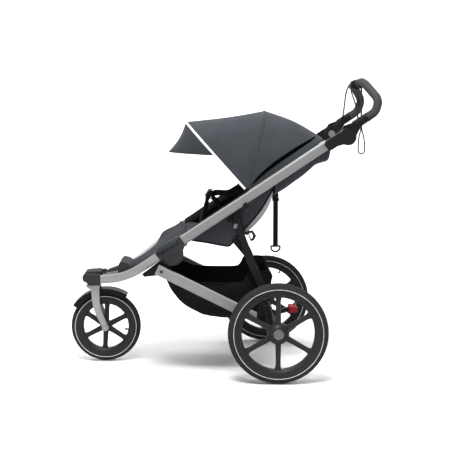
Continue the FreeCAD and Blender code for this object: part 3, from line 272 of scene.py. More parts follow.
def woven(name, colour, thread, depth, sheen=0.3, melange=0.12, ribs=None, specular=0.06):
    """Plain weave of two crossing thread directions, with a fine melange of lighter threads."""
    n = Nodes(name, colour, 0.85, 0.0, specular)
    across = n.wave(1 / thread, n.stretched((1, 0.35, 1), (0.5, 0.6, 0.35)), "X")
    along = n.wave(1 / thread, n.stretched((1, 0.35, 1), (0.5, 0.6, 0.35)), "Z")
    weave = n.math("MAXIMUM", across, along)
    slubs = n.noise(260, 2, n.stretched((1, 1, 0.25)))
    patches = n.noise(9, 3)
    mixed = n.math("ADD", n.math("MULTIPLY", slubs, melange * 4),
                   n.math("MULTIPLY", patches, 1 - melange * 4))
    n.paint(mixed, 1 - melange * 2.2, 1 + melange * 2.2)
    n.bump(weave, depth, 0.5)
    n.bump(n.noise(38, 4), 0.0012, 0.35)
    if ribs:
        n.bump(n.wave(ribs, n.stretched((1, 1, 1)), "Z"), 0.002, 0.6)
    set_sockets(n.material, Sheen_Weight=sheen, Sheen_Roughness=0.45)
    return n.material


def plastic(name, colour, roughness, grain=900, depth=0.0001, wear=0.12, specular=0.3):
    n = Nodes(name, colour, roughness, 0.0, specular)
    fine = n.noise(grain, 2)
    broad = n.noise(14, 4)
    n.paint(broad, 1 - wear, 1 + wear)
    n.rough(broad, roughness - 0.06, roughness + 0.08)
    n.bump(fine, depth, 0.5)
    return n.material


def brushed(name, colour, roughness, turn, metallic):
    """Anodised metal with fine brush lines along one direction."""
    n = Nodes(name, colour, roughness, metallic, 0.12)
    lines = n.noise(1500, 2, n.stretched((0.02, 1, 1), turn))
    spots = n.noise(7, 3)
    n.paint(spots, 0.95, 1.05)
    n.rough(lines, roughness - 0.08, roughness + 0.1)
    n.bump(lines, 0.00004, 0.4)
    set_sockets(n.material, Anisotropic=0.35)
    return n.material


silver_up = brushed("anodised_upper", (0.25, 0.25, 0.249), 0.45, (0, math.radians(33.6), 0), metallic=0.3)
silver_low = brushed("anodised_lower", (0.26, 0.26, 0.259), 0.45, (0, math.radians(-26.3), 0), metallic=0.3)
silver_front = brushed("anodised_front", (0.30, 0.30, 0.299), 0.45, (0, math.radians(30), 0), metallic=0.3)
silver_fork = brushed("anodised_fork", (0.31, 0.31, 0.31), 0.45, (0, math.radians(-75), 0), metallic=0.3)
casting = plastic("dark_casting", (0.034, 0.034, 0.036), 0.6, depth=0.0002, specular=0.03)
black = plastic("black_plastic", (0.013, 0.013, 0.014), 0.5, specular=0.08)
gloss = plastic("gloss_black", (0.009, 0.009, 0.010), 0.4, depth=0.00003, specular=0.06)
rubber = plastic("tyre_rubber", (0.026, 0.026, 0.027), 0.75, grain=500, depth=0.0003, specular=0.06)
wheel_black = plastic("wheel_black", (0.020, 0.020, 0.021), 0.42, specular=0.15)
stripe = plastic("reflective_stripe", (0.62, 0.62, 0.62), 0.4, depth=0.00002, wear=0.05)
cap_metal = brushed("cap_metal", (0.16, 0.16, 0.165), 0.4, (math.radians(90), 0, 0), metallic=0.5)
foam = plastic("handle_foam", (0.050, 0.050, 0.052), 0.88, grain=1400, depth=0.0006, wear=0.2, specular=0.05)
red = plastic("red_rubber", (0.26, 0.015, 0.018), 0.55, depth=0.0002, specular=0.1)
# Pure black with no specular or sheen: painted shadow for the dark gap along the rear canopy's lower edge.
gap_shadow_black = plastic("gap_shadow_black", (0.0015, 0.0015, 0.0016), 0.9, depth=0.0002, specular=0.0)
shock_rubber = plastic("shock_rubber", (0.018, 0.018, 0.018), 0.5)
grey_plastic = plastic("grey_plastic", (0.16, 0.16, 0.165), 0.35)
cable_skin = plastic("cable_skin", (0.007, 0.007, 0.008), 0.6, specular=0.1)
canopy_cloth = woven("canopy_cloth", (0.039, 0.043, 0.049), 0.0011, 0.0004, sheen=0.04)
seat_cloth = woven("seat_cloth", (0.046, 0.047, 0.057), 0.0011, 0.0004, sheen=0.04)
leg_cloth = woven("leg_cloth", (0.027, 0.029, 0.034), 0.0011, 0.0004, sheen=0.03)
black_cloth = woven("black_cloth", (0.009, 0.009, 0.010), 0.0014, 0.0005, sheen=0.05, melange=0.08)
basket_cloth = woven("basket_cloth", (0.010, 0.010, 0.011), 0.0014, 0.0005, sheen=0.0, melange=0.08,
                     specular=0.02)
# Lighter copy of the black basket cloth for the basket's inside: painted light, standing in for fill light on
# the dim inside faces.
basket_inside_painted_light = woven("basket_inside_painted_light", (0.034, 0.034, 0.036), 0.0014, 0.0005, sheen=0.0, melange=0.08,
                      specular=0.02)
pad_cloth = woven("pad_cloth", (0.016, 0.016, 0.018), 0.0016, 0.0006, sheen=0.2, melange=0.1)
webbing = woven("webbing", (0.011, 0.011, 0.012), 0.0020, 0.0006, sheen=0.15, melange=0.08, ribs=420)
piping = plastic("white_piping", (0.80, 0.80, 0.80), 0.5, grain=1200, depth=0.00015, wear=0.04)


def two_tone(name, colour, dark, edge, aim, soft):
    """Casting paint that turns darker beyond a plane through the point, in the direction of the aim."""
    material = plastic(name, colour, 0.6, depth=0.0002, specular=0.14)
    tree = material.node_tree
    shader = tree.nodes["Principled BSDF"]
    paint = shader.inputs["Base Color"].links[0].from_socket
    place = tree.nodes.new("ShaderNodeTexCoord").outputs["Object"]
    along = tree.nodes.new("ShaderNodeVectorMath")
    along.operation = "DOT_PRODUCT"
    along.inputs[1].default_value = Vector(aim).normalized()
    tree.links.new(place, along.inputs[0])
    level = Vector(edge).dot(Vector(aim).normalized())
    share = tree.nodes.new("ShaderNodeMapRange")
    share.inputs["From Min"].default_value = level - soft
    share.inputs["From Max"].default_value = level + soft
    tree.links.new(along.outputs["Value"], share.inputs["Value"])
    mix = tree.nodes.new("ShaderNodeMix")
    mix.data_type = "RGBA"
    tree.links.new(share.outputs["Result"], mix.inputs["Factor"])
    tree.links.new(paint, mix.inputs["A"])
    mix.inputs["B"].default_value = (*dark, 1)
    tree.links.new(mix.outputs["Result"], shader.inputs["Base Color"])
    return material


hinge_casting = two_tone("hinge_casting", (0.028, 0.028, 0.030), (0.006, 0.006, 0.007), (-0.249, 0, 0.466),
                         (-0.55, 0, -1), 0.003)


def mesh_fabric(name, colour):
    """Open spacer mesh: rows of small round holes."""
    n = Nodes(name, colour, 0.8, 0.0, 0.25)
    cells = n.tree.nodes.new("ShaderNodeTexVoronoi")
    cells.inputs["Scale"].default_value = 330
    cells.inputs["Randomness"].default_value = 0.12
    n.tree.links.new(n.place, cells.inputs["Vector"])
    n.tree.links.new(n.ramp(cells.outputs["Distance"], [(0.15, [c * 0.45 for c in colour]), (0.5, colour)]),
                     n.shader.inputs["Base Color"])
    n.bump(cells.outputs["Distance"], 0.0006, 0.6)
    set_sockets(n.material, Sheen_Weight=0.25)
    return n.material


pale_mesh = mesh_fabric("pale_mesh", (0.33, 0.33, 0.335))

NODE_MATERIALS = {
    "upper_tubes": silver_up, "lower_tubes": silver_low, "front_tubes": silver_front,
                  "fork_blades": silver_fork,
    "seat_cross_tube": silver_up, "upper_knuckles": casting, "front_knuckles": hinge_casting,
                  "steering_head": casting,
    "footrest": casting, "fork_crown": silver_fork, "main_hinge_pins": casting, "lower_pivot_pins": casting,
    "front_axle": silver_fork, "rear_axle": black, "tube_sockets": black, "tube_studs": black,
                  "rear_knuckles": black,
    "rear_struts": black, "strut_catch": black, "swing_arms": black, "brake_pedal": black, "pedal_pad": red,
    "handlebar_tube": black, "handlebar_grips": foam, "brake_unit": black, "brake_twist_grips": foam,
    "hub_button_left": grey_plastic, "hub_button_right": grey_plastic, "front_fender": gloss,
                  "swivel_lock": black,
    "canopy_front_bow": black, "canopy_middle_bow": black, "buckle": black, "buckle_button": grey_plastic,
    "d_ring": black,
}
BEVELS = {  # millimetres
    "upper_knuckles": 3.0, "front_knuckles": 3.0, "steering_head": 5.0, "footrest": 7.0, "fork_crown": 3.0,
    "rear_knuckles": 3.0, "rear_struts": 3.0, "strut_catch": 1.5, "swing_arms": 2.5, "brake_pedal": 2.0,
    "pedal_pad": 4.0, "tube_sockets": 3.0, "brake_unit": 4.0, "swivel_lock": 1.5, "buckle": 3.0,
    "handlebar_tube": 2.0, "handlebar_grips": 2.5, "brake_twist_grips": 1.5, "main_hinge_pins": 1.0,
    "lower_pivot_pins": 1.0, "front_axle": 1.0, "tube_studs": 1.5, "hub_button_left": 1.0,
    "hub_button_right": 1.0, "upper_tubes": 0.4, "lower_tubes": 0.4, "front_tubes": 0.4, "fork_blades": 0.6,
    "front_fender": 1.2, "buckle_button": 0.8,
}


def soften(obj, millimetres, limit=32):
    """Rounded edges on a piece whose faces meet sharply."""
    weld = obj.modifiers.new("weld", "WELD")
    weld.merge_threshold = 0.00002
    bevel = obj.modifiers.new("bevel", "BEVEL")
    bevel.width = millimetres / 1000
    bevel.segments = 2 if millimetres < 2 else 3
    bevel.limit_method = "ANGLE"
    bevel.angle_limit = math.radians(limit)
    bevel.use_clamp_overlap = True
    bevel.harden_normals = False
    normal = obj.modifiers.new("normals", "WEIGHTED_NORMAL")
    normal.weight = 60


for node, material in NODE_MATERIALS.items():
    target = NODES[node]
    target.data.materials.clear()
    target.data.materials.append(material)
    if node in BEVELS:
        soften(target, BEVELS[node])


# ------------------------------------------------------------------ mesh helpers


def new_mesh(name, points, faces, material, body=None, slot=None):
    """A smooth shaded object of its own; it rides on the body when one is given."""
    mesh = bpy.data.meshes.new(name)
    mesh.from_pydata([tuple(p) for p in points], [], faces)
    mesh.validate()
    mesh.update()
    for face in mesh.polygons:
        face.use_smooth = True
    obj = bpy.data.objects.new(name, mesh)
    bpy.context.scene.collection.objects.link(obj)
    for one in material if isinstance(material, (list, tuple)) else [material]:
        mesh.materials.append(one)
    if body:
        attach(obj, body)
    return obj


def lattice(rows, close_rows=False, close_columns=False, caps=False):
    """Quads of a grid of points; rows is a list of equally long lists."""
    count = len(rows)
    across = len(rows[0])
    points = [p for row in rows for p in row]
    faces = []
    for i in range(count if close_rows else count - 1):
        for j in range(across if close_columns else across - 1):
            a = i * across + j
            b = i * across + (j + 1) % across
            c = ((i + 1) % count) * across + (j + 1) % across
            d = ((i + 1) % count) * across + j
            faces.append([a, b, c, d])
    if caps:
        faces.append(list(range(across))[::-1])
        faces.append([(count - 1) * across + j for j in range(across)])
    return points, faces


def joined(parts):
    """One list of points and faces from several lattices."""
    points, faces = [], []
    for some, more in parts:
        faces += [[v + len(points) for v in face] for face in more]
        points += list(some)
    return points, faces


def turned(profile, centre, steps, wobble=None):
    """A profile of (radius, along) turned about the Y axis through the centre."""
    rows = []
    for i, (c, s) in enumerate(circle(steps)):
        row = []
        for j, (radius, along) in enumerate(profile):
            r = radius + (wobble(i, j) if wobble else 0)
            row.append(Vector(centre) + Vector((r * c, along, r * s)))
        rows.append(row)
    return lattice(rows, close_rows=True)


def tube(points, radius, sides=12):
    """A round tube along points; the radius may be one number or one for each point."""
    hint = Vector((0, 1, 0))
    rows = []
    for i, p in enumerate(points):
        along = heading(points, i)
        side = (hint - along * hint.dot(along))
        side = side.normalized() if side.length > 1e-6 else along.orthogonal().normalized()
        up = along.cross(side)
        r = radius[i] if isinstance(radius, (list, tuple)) else radius
        rows.append([p + (side * c + up * s) * r for c, s in circle(sides)])
    return lattice(rows, close_columns=True, caps=True)


def smoothline(points, count):
    """Evenly counted points of a Catmull-Rom curve through a few points."""
    pts = [Vector(p) for p in points]
    spans = len(pts) - 1
    out = []
    for k in range(count):
        t = k / (count - 1) * spans
        i = min(int(t), spans - 1)
        f = t - i
        b, c = pts[i], pts[i + 1]
        a = pts[i - 1] if i > 0 else b * 2 - c
        d = pts[i + 2] if i + 2 < len(pts) else c * 2 - b
        out.append(0.5 * ((2 * b) + (c - a) * f + (2 * a - 5 * b + 4 * c - d) * f * f
                          + (3 * b - a - 3 * c + d) * f ** 3))
    return out


def xz(points):
    return [Vector((x / 1000, 0, z / 1000)) for x, z in points]


# ------------------------------------------------------------------ cords


def cord_curve(name, points, diameter, material, body, node, **facts):
    """A free cord: a smooth line through a given route, in metres."""
    data = bpy.data.curves.new(name, "CURVE")
    data.dimensions = "3D"
    data.bevel_depth = diameter / 2
    data.bevel_resolution = 4
    spline = data.splines.new("NURBS")
    spline.points.add(len(points) - 1)
    for point, place in zip(spline.points, points):
        point.co = (*place, 1.0)
    spline.order_u = 3
    spline.use_endpoint_u = True
    spline.resolution_u = 12
    data.materials.append(material)
    obj = bpy.data.objects.new(name, data)
    bpy.context.scene.collection.objects.link(obj)
    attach(obj, body)
    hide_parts(node)


for side, sign in SIDES:
    cord_curve("brake_cable_look_" + side, [
        (0.549, sign * 0.017, 1.186), (0.545, sign * 0.046, 1.170), (0.545, sign * 0.086, 1.141),
        (0.549, sign * 0.126, 1.110), (0.551, sign * 0.160, 1.078), (0.551, sign * 0.182, 1.054),
        (0.548, sign * 0.190, 1.033)],
        0.0064, cable_skin, "handlebar", "brake_cable_" + side, length=0.235, stiffness="stiff", lay="loose")
cord_curve("wrist_cord_look", [
    (0.585, -0.0719, 1.022), (0.585, -0.0719, 1.000), (0.578, -0.0736, 0.977), (0.5735, -0.075, 0.951),
    (0.5725, -0.075, 0.926), (0.573, -0.075, 0.9046), (0.5806, -0.075, 0.897), (0.5914, -0.075, 0.897),
    (0.599, -0.075, 0.9046), (0.600, -0.075, 0.926), (0.5985, -0.075, 0.951), (0.593, -0.0764, 0.977),
    (0.5856, -0.0781, 1.000), (0.585, -0.0781, 1.022)],
    0.0056, cable_skin, "handlebar", "wrist_cord", length=0.268, stiffness="limp", lay="hanging")


# ------------------------------------------------------------------ soft goods helpers


def inflated(obj, cap, voxel=0.005):
    """Fills a pad by a cloth simulation under inner pressure, with the swelling capped."""
    remesh = obj.modifiers.new("remesh", "REMESH")
    remesh.mode = "VOXEL"
    remesh.voxel_size = voxel
    apply_modifiers(obj)
    start = np.array([v.co[:] for v in obj.data.vertices])
    cloth = obj.modifiers.new("cloth", "CLOTH")
    cloth.settings.quality = 5
    cloth.settings.mass = 0.25
    cloth.settings.tension_stiffness = 12
    cloth.settings.compression_stiffness = 8
    cloth.settings.bending_stiffness = 0.6
    cloth.settings.use_pressure = True
    cloth.settings.uniform_pressure_force = 4.0
    cloth.settings.effector_weights.gravity = 0
    cloth.collision_settings.use_collision = False
    scene = bpy.context.scene
    for number in range(1, 21):
        scene.frame_set(number)
    shape = obj.evaluated_get(bpy.context.evaluated_depsgraph_get()).data
    after = np.array([v.co[:] for v in shape.vertices])
    obj.modifiers.remove(cloth)
    scene.frame_set(1)
    move = after - start
    size = np.linalg.norm(move, axis=1, keepdims=True)
    move *= np.minimum(1, cap / np.maximum(size, 1e-9))
    start = start + move
    for vertex, place in zip(obj.data.vertices, start):
        vertex.co = place
    obj.data.update()
    round_off(obj, 4)


def round_off(obj, repeats):
    smooth = obj.modifiers.new("smooth", "SMOOTH")
    smooth.factor = 0.5
    smooth.iterations = repeats
    apply_modifiers(obj)
    for face in obj.data.polygons:
        face.use_smooth = True


def apply_modifiers(obj):
    graph = bpy.context.evaluated_depsgraph_get()
    graph.update()
    made = bpy.data.meshes.new_from_object(obj.evaluated_get(graph))
    obj.modifiers.clear()
    old = obj.data
    obj.data = made
    bpy.data.meshes.remove(old)


def groove(obj, lines, depth, wide):
    """Presses sewn channels into a pad: each line is (point, direction) in the plane of the pad."""
    normals = [v.normal.copy() for v in obj.data.vertices]
    for vertex, normal in zip(obj.data.vertices, normals):
        push = 0.0
        for at, along in lines:
            away = vertex.co - Vector(at)
            gap = (away - Vector(along) * away.dot(Vector(along))).length
            push = max(push, math.exp(-(gap / wide) ** 2))
        vertex.co -= normal * depth * push
    obj.data.update()


def slab(name, line, half_y, thick, material, columns=18, edge=0.25):
    """A rounded pad: a centre line in the XZ plane, its half width, its thickness; ready to be inflated."""
    rows = []
    count = len(line)
    for i, p in enumerate(line):
        along = heading(line, i)
        normal = Vector((-along.z, 0, along.x))
        taper = min(1.0, 0.55 + min(i, count - 1 - i) * 0.3)
        row = []
        for c, s in circle(columns * 2):
            y = signed_power(c, edge) * half_y * (0.97 if taper < 1 else 1)
            h = signed_power(s, 0.6) * thick / 2 * taper
            row.append(p + Vector((0, y, 0)) + normal * h)
        rows.append(row)
    points, faces = lattice(rows, close_columns=True, caps=True)
    return new_mesh(name, points, faces, material)


def ribbon(name, line, wide, thick, body=None, hint=None, twist=None):
    """Flat woven strap along a line; its width lies along the hint, or along twist(share of the line)."""
    rows = []
    count = len(line)
    for i, p in enumerate(line):
        along = heading(line, i)
        aim = twist(i / (count - 1)) if twist else Vector(hint)
        side = (aim - along * aim.dot(along)).normalized()
        up = along.cross(side)
        w, h = wide / 2, thick / 2
        rows.append([p + side * a + up * b for a, b in (
            (w, h * 0.4), (w * 0.9, h), (w * 0.5, h * 0.8), (-w * 0.5, h * 0.8), (-w * 0.9, h), (-w, h * 0.4),
            (-w, -h * 0.4), (-w * 0.9, -h), (w * 0.9, -h), (w, -h * 0.4))])
    points, faces = lattice(rows, close_columns=True, caps=True)
    obj = new_mesh(name, points, faces, webbing, body, slot="webbing")
    sharpen(obj, 50)
    return obj


def solid_cloth(obj, thickness, offset=-1):
    """Gives a sheet its thickness, inward from its surface unless the offset says otherwise."""
    thick = obj.modifiers.new("thick", "SOLIDIFY")
    thick.thickness = thickness
    thick.offset = offset


def on_surface(points, faces):
    """A ray caster onto a mesh given by its points and faces."""
    return BVHTree.FromPolygons([tuple(p) for p in points], faces)


def tape_on(tree, route, wide, high, side, taper=False):
    """A thin raised tape that follows a surface seen from one side; route is (x, z) in metres."""
    places = []
    for x, z in route:
        hit, normal = tree.ray_cast(Vector((x, side * 2.0, z)), Vector((0, -side, 0)))[:2]
        if hit is not None:
            places.append((hit, normal * math.copysign(1, normal.y * side)))
    rows = []
    count = len(places)
    for i, (p, out) in enumerate(places):
        along = (places[min(i + 1, count - 1)][0] - places[max(i - 1, 0)][0]).normalized()
        across = along.cross(out).normalized()
        w = wide / 2 * (math.sin(math.pi * (i + 0.3) / (count - 0.4)) ** 0.6 if taper else 1.0)
        rows.append([p + across * w - out * 0.002, p + across * w * 0.8 + out * high,
                     p - across * w * 0.8 + out * high,
                     p - across * w - out * 0.002])
    return lattice(rows, close_columns=True, caps=True)


def straight(a, b, count):
    """Even steps from one (x, z) place to another."""
    return [(a[0] + (b[0] - a[0]) * i / count, a[1] + (b[1] - a[1]) * i / count) for i in range(count + 1)]


def mm_line(points, count):
    """Smooth curve through (x, z) points in millimetres, as vectors in metres."""
    return smoothline(xz(points), count)


# ------------------------------------------------------------------ wheels


def tyre(name, body, centre, radius, half, bead, stripe_at, blocks, replaced):
    """Pneumatic tyre with a knobbly tread and a thin reflective ring on each sidewall."""
    r = radius
    side = [
        (bead - 0.001, half - 0.0095), (bead + 0.002, half - 0.006), (bead + 0.006, half - 0.0025),
        (stripe_at - 0.0050, half - 0.0004), (stripe_at - 0.0012, half - 0.0001),
            (stripe_at - 0.0011, half + 0.0004),
        (stripe_at + 0.0011, half + 0.0004), (stripe_at + 0.0012, half - 0.0002),
            (stripe_at + 0.005, half - 0.0010),
        (r - 0.0155, half - 0.0026), (r - 0.0125, half - 0.0040), (r - 0.0120, half - 0.0038),
        (r - 0.0085, half - 0.0060), (r - 0.0055, half - 0.0090), (r - 0.0050, half - 0.0098),
        (r - 0.0032, half - 0.0125), (r - 0.0018, half - 0.0155), (r - 0.0010, half - 0.0180),
        (r - 0.0003, 0.0022),
    ]
    profile = side + [(a, -b) for a, b in reversed(side)]
    count = len(side)
    step = 3

    def tread(i, j):
        k = min(j, len(profile) - 1 - j)
        phase = (i // step) % 2
        if k in (11, 12, 13):
            return 0.0 if phase else -0.0016
        if k in (14, 15, 16, 17):
            return -0.0018 if ((i + (2 if j < count else -1)) // step) % 2 and k != 17 else 0.0
        return 0.0

    points, faces = turned(profile, centre, blocks * step * 2, wobble=tread)
    obj = new_mesh(name, points, faces, [rubber, stripe], body)
    across = len(profile)
    for face in obj.data.polygons:
        columns = sorted({v % across for v in face.vertices})
        k = min(columns[0], across - 1 - columns[1])
        if k in (4, 5):
            face.material_index = 1
        if k in (10, 11, 12, 13, 14, 15, 16):
            face.use_smooth = False
    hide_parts(replaced)
    return obj


def spoke(centre, angle, start, end, wide, deep):
    """One tapering spoke that flares into the hub and into the rim."""
    rows = []
    out = Vector((math.cos(angle), 0, math.sin(angle)))
    side = Vector((-math.sin(angle), 0, math.cos(angle)))
    depth = Vector((0, 1, 0))
    stations = [(0.0, 1.55, 1.35), (0.07, 1.22, 1.2), (0.16, 1.04, 1.08), (0.5, 0.94, 1.0),
                (0.80, 0.88, 0.95),
                (0.90, 0.98, 0.98), (0.96, 1.25, 1.1), (1.0, 1.75, 1.3)]
    for share, w, d in stations:
        base = Vector(centre) + out * (start + (end - start) * share)
        w = w * wide / 2
        d = d * deep / 2
        ring = [(w, d * 0.45), (w * 0.72, d), (w * 0.30, d * 0.86), (-w * 0.30, d * 0.86), (-w * 0.72, d),
                (-w, d * 0.45), (-w, -d * 0.45), (-w * 0.72, -d), (w * 0.72, -d), (w, -d * 0.45)]
        rows.append([base + side * a + depth * b for a, b in ring])
    return lattice(rows, close_columns=True, caps=True)


def rim(name, body, centre, out_sign, outer, inner, half, hub, spoke_wide, spoke_deep, first_angle, replaced,
        cap=None):
    """A moulded six-spoke wheel: ring with lips, spokes and a hub, which may hold a round cap."""
    lip = [(outer + 0.0005, half), (outer + 0.0035, half + 0.0012), (outer + 0.0025, half + 0.0024),
           (outer - 0.003, half + 0.0018), (outer - 0.006, half - 0.001), (inner + 0.002, half - 0.0035),
           (inner, half - 0.006)]
    ring = lip + [(a, -b) for a, b in reversed(lip)] + [(outer - 0.004, 0)]
    rows = turned(ring + ring[:1], centre, 120)
    parts = [rows]
    for k in range(6):
        parts.append(spoke(centre, first_angle + k * math.pi / 3, hub * 0.55, inner + 0.002, spoke_wide,
                           spoke_deep))
    bore = 0.0061
    s = out_sign
    if cap:
        face = half + 0.0085
        shell = [(bore, s * (face - 0.009)), (cap + 0.0006, s * (face - 0.009)),
                 (cap + 0.0006, s * (face - 0.0008)),
                 (cap + 0.0016, s * face), (cap + 0.006, s * face), (cap + 0.0085, s * (face - 0.0022)),
                 (hub - 0.008, s * (face - 0.006)), (hub - 0.004, s * (face - 0.0125)),
                 (hub - 0.001, s * 0.0105),
                 (hub, s * 0.008), (hub, -s * 0.008), (hub - 0.005, -s * 0.014), (0.028, -s * (half + 0.006)),
                 (0.024, -s * (half + 0.0075)), (bore, -s * (half + 0.0075))]
    else:
        shell = [(bore, 0.031), (0.0125, 0.031), (0.0142, 0.0295), (0.015, 0.024), (hub, 0.0195),
                 (hub + 0.0015, 0.016),
                 (hub + 0.0015, -0.016), (hub, -0.0195), (0.015, -0.024), (0.0142, -0.0295), (0.0125, -0.031),
                 (bore, -0.031)]
    parts.append(turned(shell + shell[:1], centre, 64))
    points, faces = joined(parts)
    obj = new_mesh(name, points, faces, wheel_black, body, slot="wheel_black")
    sharpen(obj, 30)
    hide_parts(replaced)
    return obj


def sharpen(obj, degrees):
    """Marks edges sharper than the angle, so that chamfers stay crisp under smooth shading."""
    work = bmesh.new()
    work.from_mesh(obj.data)
    bmesh.ops.recalc_face_normals(work, faces=work.faces)
    for edge in work.edges:
        if len(edge.link_faces) == 2 and edge.calc_face_angle(0) > math.radians(degrees):
            edge.smooth = False
    work.to_mesh(obj.data)
    work.free()


def valve(name, body, centre, angle, rim_inner, length):
    """Tyre valve standing in from the rim."""
    out = Vector((math.cos(angle), 0, math.sin(angle)))
    line = [Vector(centre) + out * (rim_inner + 0.002 - length * t) for t in (0, 0.5, 0.52, 0.9, 1.0)]
    points, faces = tube(line, [0.0036, 0.0032, 0.0042, 0.0042, 0.0028], 12)
    obj = new_mesh(name, points, faces, black, body)
    sharpen(obj, 40)
    return obj


for side, sign in SIDES:
    centre = pivot("rear_wheel_%s_spin" % side)
    body = "rear_wheel_" + side
    tyre("rear_tyre_look_" + side, body, centre, 0.200, 0.0232, 0.1565, 0.177, 64, "rear_tyre_" + side)
    rim("rear_rim_look_" + side, body, centre, sign, 0.157, 0.1445, 0.0155, 0.043, 0.0215, 0.0165,
        math.radians(90), "rear_rim_" + side, cap=0.021)
    valve("rear_valve_" + side, body, centre, math.radians(62), 0.144, 0.017)
    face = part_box("wheel_cap_" + side)[0 if sign < 0 else 1].y
    low = face - sign * 0.0055
    disc = [(0.0, face - sign * 0.0012), (0.0075, face - sign * 0.0010), (0.0082, face - sign * 0.0018),
            (0.0096, face - sign * 0.0018), (0.0104, face - sign * 0.0002), (0.0165, face),
            (0.0192, face - sign * 0.0012),
            (0.0208, face - sign * 0.0026), (0.0209, low), (0.0, low)]
    points, faces = turned(disc, (centre.x, 0, centre.z), 64)
    cap = new_mesh("wheel_button_look_" + side, points, faces, cap_metal, "wheel_release_" + side,
                   slot="cap_silver")
    sharpen(cap, 28)
    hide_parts("wheel_cap_" + side)

centre = pivot("front_wheel_spin")
tyre("front_tyre_look", "front_wheel", centre, 0.150, 0.0222, 0.1075, 0.131, 48, "front_tyre")
rim("front_rim_look", "front_wheel", centre, 1, 0.108, 0.0965, 0.0145, 0.0215, 0.0225, 0.0145,
    math.radians(87),
    "front_rim")
valve("front_valve", "front_wheel", centre, math.radians(-10), 0.096, 0.016)


# ------------------------------------------------------------------ canopy

PIVOT = pivot("canopy_middle_fold")
HALF = 0.219


def arch_point(t, angle, reach, power):
    """A point of a canopy arch; t runs from the left pivot (0) over the crest (0.5) to the right one (1)."""
    a = math.pi * t
    rise = max(reach * max(math.sin(a), 0.0) ** (2 / power), 0.012)
    y = -HALF * signed_power(math.cos(a), 2 / power)
    return Vector((PIVOT.x + rise * math.cos(angle), y, PIVOT.z + rise * math.sin(angle)))


# angle from the seat side, reach and roundness of each arch
FRONT = (math.radians(132), 0.374, 2.6)
MIDDLE = (math.radians(75), 0.336, 2.6)
REAR = (math.radians(32.5), 0.390, 3.4)


def even(count):
    """Shares along an arch that give evenly long steps on its steep sides too."""
    return [0.5 - 0.5 * math.cos(math.pi * i / count) * (1 - 0.25 * math.sin(math.pi * i / count) ** 2)
            for i in range(count + 1)]


def canopy_sheet(name, first, second, sag, columns, material):
    """Stretched cloth between two arches: rows go from the first arch to the second one."""
    shares = even(56)
    rows = []
    for i in range(columns + 1):
        v = i / columns
        row = []
        for t in shares:
            a = arch_point(t, *first)
            b = arch_point(t, *second)
            p = a.lerp(b, v)
            out = (p - PIVOT)
            out.y = (p.y / HALF) * 0.10
            out.normalize()
            crest = math.sin(math.pi * t)
            p = p + out * (sag * math.sin(math.pi * v) * crest ** 0.8)
            pull = math.sin(math.pi * v) * crest
            p = p + out * (wrinkle((p.x, p.y * 0.6, p.z * 1.8), 0.085, 0.0022) * pull)
            row.append(p)
        rows.append(row)
    points, faces = lattice(rows)
    obj = new_mesh(name, points, faces, material, slot="canopy_cloth")
    solid_cloth(obj, CLOTH, 1)
    return obj


front_cloth = canopy_sheet("canopy_front_cloth", FRONT, MIDDLE, -0.006, 26, canopy_cloth)
rear_cloth = canopy_sheet("canopy_rear_cloth", MIDDLE, REAR, 0.012, 20, canopy_cloth)


def plane_blend(obj):
    """Bakes the piece's placement into its mesh."""
    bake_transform(obj)


plane_blend(front_cloth)
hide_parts("canopy_front_panel")
plane_blend(rear_cloth)
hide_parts("canopy_rear_panel")


def visor_point(u, v):
    """u from the left end (-1) to the right end (1) of the rim, v from the bow (0) to the rim (1)."""
    angle, reach, power = FRONT
    y = 0.200 * u
    rise = reach * (1 - abs(y / HALF) ** power) ** (1 / power)
    top = Vector((PIVOT.x + rise * math.cos(angle), y, PIVOT.z + rise * math.sin(angle)))
    forward = max(1 - abs(u) ** 2.2, 0.0)
    edge = Vector((-0.039 - 0.183 * forward, y, 0.899 + 0.005 * forward))
    bend = Vector((-0.1635 + 0.045 * (1 - forward), y, 0.965))
    bend = (top + edge) / 2 * (1 - forward) + bend * forward
    return top * (1 - v) ** 2 + bend * (2 * v * (1 - v)) + edge * v ** 2


rows = []
for i in range(15):
    v = i / 14
    row = []
    for j in range(49):
        u = math.sin((j / 48 - 0.5) * math.pi)
        p = visor_point(u, v)
        p.x += wrinkle((p.x, p.y, p.z), 0.07, 0.0015) * math.sin(math.pi * v)
        row.append(p)
    rows.append(row)
points, faces = lattice(rows)
visor = new_mesh("sun_visor", points, faces, canopy_cloth, "canopy_front", slot="canopy_cloth")
solid_cloth(visor, 0.0025, 0)
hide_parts("visor")

edge = [visor_point(math.sin((j / 60 - 0.5) * math.pi), 1.0) for j in range(61)]
points, faces = tube(edge, 0.0028, 8)
new_mesh("visor_hem", points, faces, canopy_cloth, "canopy_front", slot="canopy_cloth")


def canopy_band(name, arch, wide, high, material, body, lift=0.0006):
    """A flat trim tape lying along an arch."""
    centre = [arch_point(t, *arch) for t in even(80)]
    rows = []
    square = Vector((math.sin(arch[0]), 0, -math.cos(arch[0])))
    for i, p in enumerate(centre):
        out = heading(centre, i).cross(square)
        if out.dot(p - PIVOT) < 0:
            out = -out
        base = p + out * lift
        rows.append([base + square * (wide / 2) - out * 0.001,
                     base + square * (wide / 2) * 0.85 + out * high * 0.7,
                     base + out * high, base - square * (wide / 2) * 0.85 + out * high * 0.7,
                     base - square * (wide / 2) - out * 0.001, base - out * 0.001])
    points, faces = lattice(rows, close_columns=True, caps=True)
    return new_mesh(name, points, faces, material, body, slot="canopy_cloth")


canopy_band("white_piping", FRONT, 0.0095, 0.0016, piping, "canopy_front")
canopy_band("middle_seam", MIDDLE, 0.0055, 0.0010, canopy_cloth, "canopy_middle", lift=0.0003)

